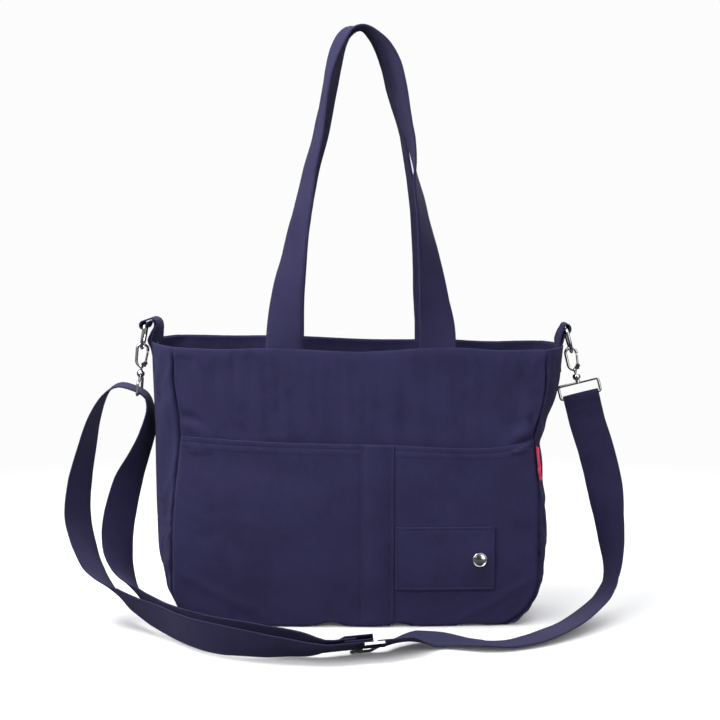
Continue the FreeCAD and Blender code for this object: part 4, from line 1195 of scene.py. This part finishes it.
def make_tab(side, sign):
    surface = LEFT if sign < 0 else RIGHT
    bar_x, bar_z = RING_BAR[side]
    tall, wide, up, turn = TAB_LOOP[side]
    rim_x = float(surface.at(RIM - 2, 0.0)[0])
    mid_x = rim_x - sign * 4.1
    top_z = bar_z + up
    keys = [(mid_x - sign * 0.9, z) for z in (262, 276, 288)]
    keys.append((mid_x - sign * 1.4, 295))
    if side == "left":
        keys += [(-210.2, 303), (-208.4, 310.5), (-209.8, 316.0), (-214.6, 318.4), (-219.8, 316.9)]
        angles = (62, 30, 0, -35, -70)
    else:
        keys.append((0.5 * mid_x + 0.5 * (bar_x - sign * wide) - sign * 1.0, 303))
        angles = (172, 138, 104, 70, 35, 0, -35, -70)
    for angle in angles:
        a = math.radians(angle)
        keys.append((bar_x + sign * wide * math.cos(a), top_z + tall * math.sin(a)))
    if side == "left":
        keys += [(-221.2, 309.6), (-218.8, 313.4), (-214.6, 315.8), (-211.6, 313.8), (-210.6, 309), (-212.3, 303)]
    else:
        keys.append((0.55 * (mid_x + sign * 2.4) + 0.45 * bar_x, 301))
    keys.append((mid_x + sign * 1.7, 295))
    keys += [(mid_x + sign * 0.9, z) for z in (288, 276, 262)]
    rows_out = []
    for x, z in keys:
        a = math.radians(turn * smooth((z - 284) / 8) * (1 - 0.66 * smooth((z - 296) / 20)))
        rows_out.append((x, 0.0, z, sign * math.sin(a), -math.cos(a), 0))
    stations = smooth_stations(rows_out, 2.5)
    build = Build()
    sweep_band(build, stations, 24.0, 1.6, 3.0 + sign, wave=0.25, stitch_in=2.4)
    return build.make("ring_tab_" + side + "_cloth", [BAND, THREAD], "bag", ["ring_tab_" + side])


make_tab("left", -1)
make_tab("right", 1)


# ---------------------------------------------------------------- shoulder strap
CLASP = {"left": ((-230.95, 0.0, 239.02), -5.0), "right": ((236.30, 0.0, 236.23), 14.0)}
WRAP = 1.5 + 0.25 + 0.8
SLIDER_AT = np.array([10.0, -180.0, 13.4])
SLIDER_WAY = unit(np.array([0.93, 0.36, 0.0]))
SLIDER_EDGE = np.array([0.33, -0.85, 0.42])
SLIDER_EDGE = unit(SLIDER_EDGE - SLIDER_WAY * np.dot(SLIDER_EDGE, SLIDER_WAY))
SLIDER_UP = np.cross(SLIDER_EDGE, SLIDER_WAY)


def clasp_down(side):
    a = math.radians(CLASP[side][1])
    return np.array([math.sin(a), 0.0, -math.cos(a)])


def strap_keys():
    bar, down = np.array(CLASP["right"][0]), clasp_down("right")
    edge = (-down[2], 0.0, down[0])
    rows_out = []
    for drop, y in ((30, 0.98), (20, 0.98), (11, 1.05), (4, 2.3), (0, WRAP)):
        rows_out.append(tuple(bar + down * drop + np.array([0, y, 0])) + edge)
    for a in (45, 90, 135):
        c, s = math.cos(math.radians(a)), math.sin(math.radians(a))
        rows_out.append(tuple(bar + np.array([0, WRAP * c, 0]) - down * (WRAP * s)) + edge)
    for drop, y in ((0, -WRAP), (4, -2.3), (11, -1.05), (20, -0.98), (30, -0.98)):
        rows_out.append(tuple(bar + down * drop + np.array([0, y, 0])) + edge)
    rows_out += [
        (253, -1, 178, 0.96, -0.05, 0.28), (262, -1, 142, 0.96, -0.15, 0.22), (267, -3, 108, 0.76, -0.64, 0.1),
        (270, -6, 80, 0.6, -0.8, 0), (271, -10, 58, 0.38, -0.92, 0), (268, -15, 41, 0.2, -0.97, 0.05),
        (260, -24, 28, 0.35, -0.9, 0.25), (246, -41, 18, 0.65, -0.68, 0.32), (226, -68, 11, 0.8, -0.52, 0.26),
        (203, -96, 7, 0.78, -0.6, 0.18), (177, -121, 4, 0.6, -0.79, 0.1), (151, -137, 3, 0.3, -0.95, 0.06),
        (128, -142, 4.5, 0.03, -0.99, 0.12), (106, -135, 4.5, -0.1, -0.99, 0.04), (86, -130, 6, 0, -0.99, -0.12),
        (68, -136, 8, 0.08, -0.98, -0.14), (50, -152, 10.5, 0.2, -0.93, 0.16)]
    for step in (28, 10, -10, -28, -44):
        rows_out.append(tuple(SLIDER_AT + SLIDER_WAY * step) + tuple(SLIDER_EDGE))
    rows_out += [
        (-50, -197, 13.5, 0, -0.82, 0.57), (-68, -196, 15, 0.03, -0.76, 0.65), (-88, -195, 16.5, 0, -0.66, 0.75),
        (-111, -191, 18.5, -0.08, -0.54, 0.84), (-133, -183, 19.6, -0.15, -0.4, 0.9),
        (-153, -170, 20.2, -0.19, -0.35, 0.92), (-175, -145, 20.4, -0.15, -0.4, 0.9),
        (-197, -115, 22, -0.1, -0.5, 0.86), (-220, -88, 25, -0.08, -0.62, 0.78), (-242, -66, 32, -0.06, -0.8, 0.6),
        (-262, -50, 44, -0.12, -0.97, 0.2), (-277, -38, 59, -0.32, -0.94, 0), (-288, -26, 80, -0.5, -0.86, 0),
        (-296, -14, 110, -0.6, -0.8, 0), (-294, -6, 146, -0.54, -0.84, 0), (-285, -2, 190, -0.35, -0.93, 0),
        (-278, 0, 215, -0.22, -0.97, 0), (-270, 0, 233, -0.1, -1, 0), (-261, 0, 243.5, 0, -1, 0),
        (-251, 0, 247.3, 0, -1, 0), (-240.5, 0, 245.3, 0, -1, 0)]
    lx, lz = CLASP["left"][0][0], CLASP["left"][0][2]
    for a in (85, 60, 40):
        c, s = math.cos(math.radians(a)), math.sin(math.radians(a))
        rows_out.append((lx + WRAP * c, 0, lz + WRAP * s, 0, -1, 0))
    rows_out += [
        (-222.5, 0, 235, 0, -1, 0), (-219.5, 0, 221, -0.1, -1, 0), (-222, -1, 200, -0.35, -0.93, 0),
        (-232, -2, 173, -0.53, -0.85, 0), (-243, -3, 146, -0.74, -0.67, 0), (-252, -6, 112, -0.84, -0.54, 0),
        (-255, -9, 90, -0.82, -0.57, 0), (-254, -14, 71, -0.7, -0.7, 0), (-248, -22, 52, -0.45, -0.88, 0.1),
        (-238, -34, 38, -0.15, -0.95, 0.25), (-224, -53, 28.5, -0.08, -0.72, 0.68),
        (-205, -82, 23.5, -0.1, -0.54, 0.84), (-180, -115, 20.8, -0.15, -0.42, 0.9),
        (-150, -145, 20.6, -0.16, -0.4, 0.9), (-124, -162, 20.6, -0.1, -0.5, 0.86),
        (-98, -173, 20.5, -0.03, -0.6, 0.8), (-74, -182, 20, 0.05, -0.68, 0.73), (-52, -190, 19.4, 0.2, -0.78, 0.6)]
    for step in (-45, -30, -18):
        rows_out.append(tuple(SLIDER_AT + SLIDER_WAY * step + SLIDER_UP * 4.6) + tuple(SLIDER_EDGE))
    return rows_out


stations = smooth_stations(strap_keys(), 4.5)
at = stations[:, :3]
calm = np.ones(len(at))
for spot, reach in ((CLASP["right"][0], 42.0), (CLASP["left"][0], 18.0), (tuple(SLIDER_AT), 55.0)):
    calm = np.minimum(calm, smooth((np.linalg.norm(at - np.array(spot), axis=1) - reach * 0.55) / reach))
build = Build()
centre, across, normal, strap_run = sweep_band(build, stations, 38.0, 1.6, 22.0, wave=0.9, calm=calm)
bar, down = np.array(CLASP["right"][0]), clasp_down("right")
edge_dir = np.array([-down[2], 0.0, down[0]])
for drop in (13.0, 27.0):
    for y, out in ((-1.78, -1.0), (1.78, 1.0)):
        line = [bar + down * drop + edge_dir * u + np.array([0, y, 0]) for u in np.linspace(-16.5, 16.5, 12)]
        stitches(build, np.array(line), np.tile([0, out, 0], (12, 1)), 1)
build.make("shoulder_strap_webbing", [BAND, THREAD], "strap", ["shoulder_strap"])

loop_keys = ((-30, 2.25), (-19, 2.25), (-8, 2.25), (0, 2.45), (1.5, 3.05), (2.15, 4.6), (1.5, 6.15), (0, 6.75),
             (-8, 6.95), (-19, 6.95), (-30, 6.95))
loop_rows = [tuple(SLIDER_AT + SLIDER_WAY * a + SLIDER_UP * b) + tuple(SLIDER_EDGE) for a, b in loop_keys]
build = Build()
sweep_band(build, smooth_stations(loop_rows, 3.0), 38.0, 1.2, 5.0, wave=0.1)
for a in (-9.0, -25.0):
    line = [SLIDER_AT + SLIDER_WAY * a + SLIDER_UP * 7.6 + SLIDER_EDGE * u for u in np.linspace(-16.5, 16.5, 12)]
    stitches(build, np.array(line), np.tile(SLIDER_UP, (12, 1)), 1)
build.make("slider_loop_webbing", [BAND, THREAD], "slider", ["strap_slider_loop"])


# ---------------------------------------------------------------- CAD pieces kept as they are
for name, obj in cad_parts.items():
    if obj.hide_render:
        continue
    mat = BOARD if name == "base_board" else NICKEL
    obj.data.materials.clear()
    obj.data.materials.append(mat)


# ---------------------------------------------------------------- stage, light and camera
def build_stage():
    mesh = bpy.data.meshes.new("floor")
    mesh.from_pydata([(-4, -3.4, 0), (4, -3.4, 0), (4, 4.6, 0), (-4, 4.6, 0)], [], [(0, 1, 2, 3)])
    floor = bpy.data.objects.new("floor", mesh)
    bpy.context.scene.collection.objects.link(floor)
    mat, tree, bsdf = new_material("floor_paper")
    link = tree.links.new
    coord = node(tree, "ShaderNodeTexCoord")
    grain = node(tree, "ShaderNodeTexNoise", Scale=3.0, Detail=3.0)
    link(coord.outputs["Object"], grain.inputs["Vector"])
    ramp = node(tree, "ShaderNodeValToRGB")
    ramp.color_ramp.elements[0].color = (0.86, 0.86, 0.87, 1)
    ramp.color_ramp.elements[1].color = (0.90, 0.90, 0.905, 1)
    link(grain.outputs["Fac"], ramp.inputs["Fac"])
    path = node(tree, "ShaderNodeLightPath")
    unseen = node(tree, "ShaderNodeMix", data_type="RGBA")
    link(path.outputs["Is Glossy Ray"], unseen.inputs[0])
    unseen.inputs[6].default_value = (0.24, 0.24, 0.25, 1)
    unseen.inputs[7].default_value = (0.04, 0.04, 0.045, 1)
    dim = node(tree, "ShaderNodeMix", data_type="RGBA")
    link(path.outputs["Is Camera Ray"], dim.inputs[0])
    link(unseen.outputs[2], dim.inputs[6])
    link(ramp.outputs["Color"], dim.inputs[7])
    link(dim.outputs[2], bsdf.inputs["Base Color"])
    bsdf.inputs["Emission Color"].default_value = (0.97, 0.97, 0.98, 1)
    glow = node(tree, "ShaderNodeMath", operation="MULTIPLY")
    link(path.outputs["Is Camera Ray"], glow.inputs[0])
    glow.inputs[1].default_value = 0.05
    link(glow.outputs[0], bsdf.inputs["Emission Strength"])
    bsdf.inputs["Roughness"].default_value = 0.7
    bsdf.inputs["Specular IOR Level"].default_value = 0.2
    away = node(tree, "ShaderNodeVectorMath", operation="LENGTH")
    link(coord.outputs["Object"], away.inputs[0])
    far = node(tree, "ShaderNodeMapRange")
    far.inputs["From Min"].default_value = 0.45
    far.inputs["From Max"].default_value = 1.15
    far.interpolation_type = "SMOOTHSTEP"
    link(away.outputs["Value"], far.inputs["Value"])
    clear = node(tree, "ShaderNodeBsdfTransparent")
    mix = node(tree, "ShaderNodeMixShader")
    link(far.outputs["Result"], mix.inputs["Fac"])
    link(bsdf.outputs["BSDF"], mix.inputs[1])
    link(clear.outputs["BSDF"], mix.inputs[2])
    link(mix.outputs["Shader"], tree.nodes["Material Output"].inputs["Surface"])
    mesh.materials.append(mat)

    world = bpy.data.worlds.new("studio")
    bpy.context.scene.world = world
    world.use_nodes = True
    tree = world.node_tree
    link = tree.links.new
    shade = tree.nodes["Background"]
    coord = node(tree, "ShaderNodeTexCoord")
    split = node(tree, "ShaderNodeSeparateXYZ")
    link(coord.outputs["Generated"], split.inputs["Vector"])
    total = None
    for axis, low, high, gain in (("Z", 0.05, 0.95, 0.85), ("Y", -0.45, -0.70, 0.8), ("Y", 0.3, 0.9, 0.12)):
        part = node(tree, "ShaderNodeMapRange")
        part.inputs["From Min"].default_value = low
        part.inputs["From Max"].default_value = high
        part.inputs["To Max"].default_value = gain
        link(split.outputs[axis], part.inputs["Value"])
        add = node(tree, "ShaderNodeMath", operation="ADD")
        link(part.outputs["Result"], add.inputs[0])
        add.inputs[1].default_value = 0.05
        if total is not None:
            link(total.outputs[0], add.inputs[1])
        total = add
    spot = node(tree, "ShaderNodeMapRange")
    spot.inputs["From Min"].default_value = -0.80
    spot.inputs["From Max"].default_value = -0.90
    spot.inputs["To Min"].default_value = 1.0
    spot.inputs["To Max"].default_value = 0.05
    link(split.outputs["Y"], spot.inputs["Value"])
    shaded = node(tree, "ShaderNodeMath", operation="MULTIPLY")
    link(total.outputs[0], shaded.inputs[0])
    link(spot.outputs["Result"], shaded.inputs[1])
    link(shaded.outputs[0], shade.inputs["Strength"])
    shade.inputs["Color"].default_value = (0.98, 0.985, 1.0, 1)
    seen = node(tree, "ShaderNodeBackground")
    seen.inputs["Color"].default_value = (0.975, 0.975, 0.98, 1)
    seen.inputs["Strength"].default_value = 1.0
    path = node(tree, "ShaderNodeLightPath")
    mix = node(tree, "ShaderNodeMixShader")
    link(path.outputs["Is Camera Ray"], mix.inputs["Fac"])
    link(shade.outputs["Background"], mix.inputs[1])
    link(seen.outputs["Background"], mix.inputs[2])
    link(mix.outputs["Shader"], tree.nodes["World Output"].inputs["Surface"])

    lamps = (("key", (-1.4, -2.0, 1.5), (0, -0.05, 0.2), 2.0, 45),
             ("high_left", (-0.75, -0.25, 1.15), (0, -0.03, 0.5), 0.5, 13),
             ("fill", (1.8, -1.9, 0.9), (0, 0, 0.2), 2.0, 16),
             ("top", (0.1, 0.3, 2.2), (0, -0.05, 0.2), 1.6, 8),
             ("behind", (0.9, 2.3, 1.3), (0, 0, 0.2), 1.6, 22))
    for name, place, aim, size, power in lamps:
        light = bpy.data.lights.new(name, "AREA")
        light.shape, light.size, light.energy = "SQUARE", size, power
        lamp = bpy.data.objects.new(name, light)
        lamp.location = place
        lamp.visible_camera = False
        lamp.rotation_euler = (Vector(aim) - Vector(place)).to_track_quat("-Z", "Y").to_euler()
        bpy.context.scene.collection.objects.link(lamp)

    cam = bpy.data.cameras.new("camera")
    cam.lens, cam.sensor_width = 95.25, 36.0
    cam.clip_end = 30.0
    camera = bpy.data.objects.new("camera", cam)
    camera.location = (0.0025, -2.0, 0.491)
    camera.rotation_euler = (math.radians(90 - 6.2), 0, 0)
    bpy.context.scene.collection.objects.link(camera)
    bpy.context.scene.camera = camera
    bpy.context.scene.view_settings.view_transform = "Standard"


build_stage()
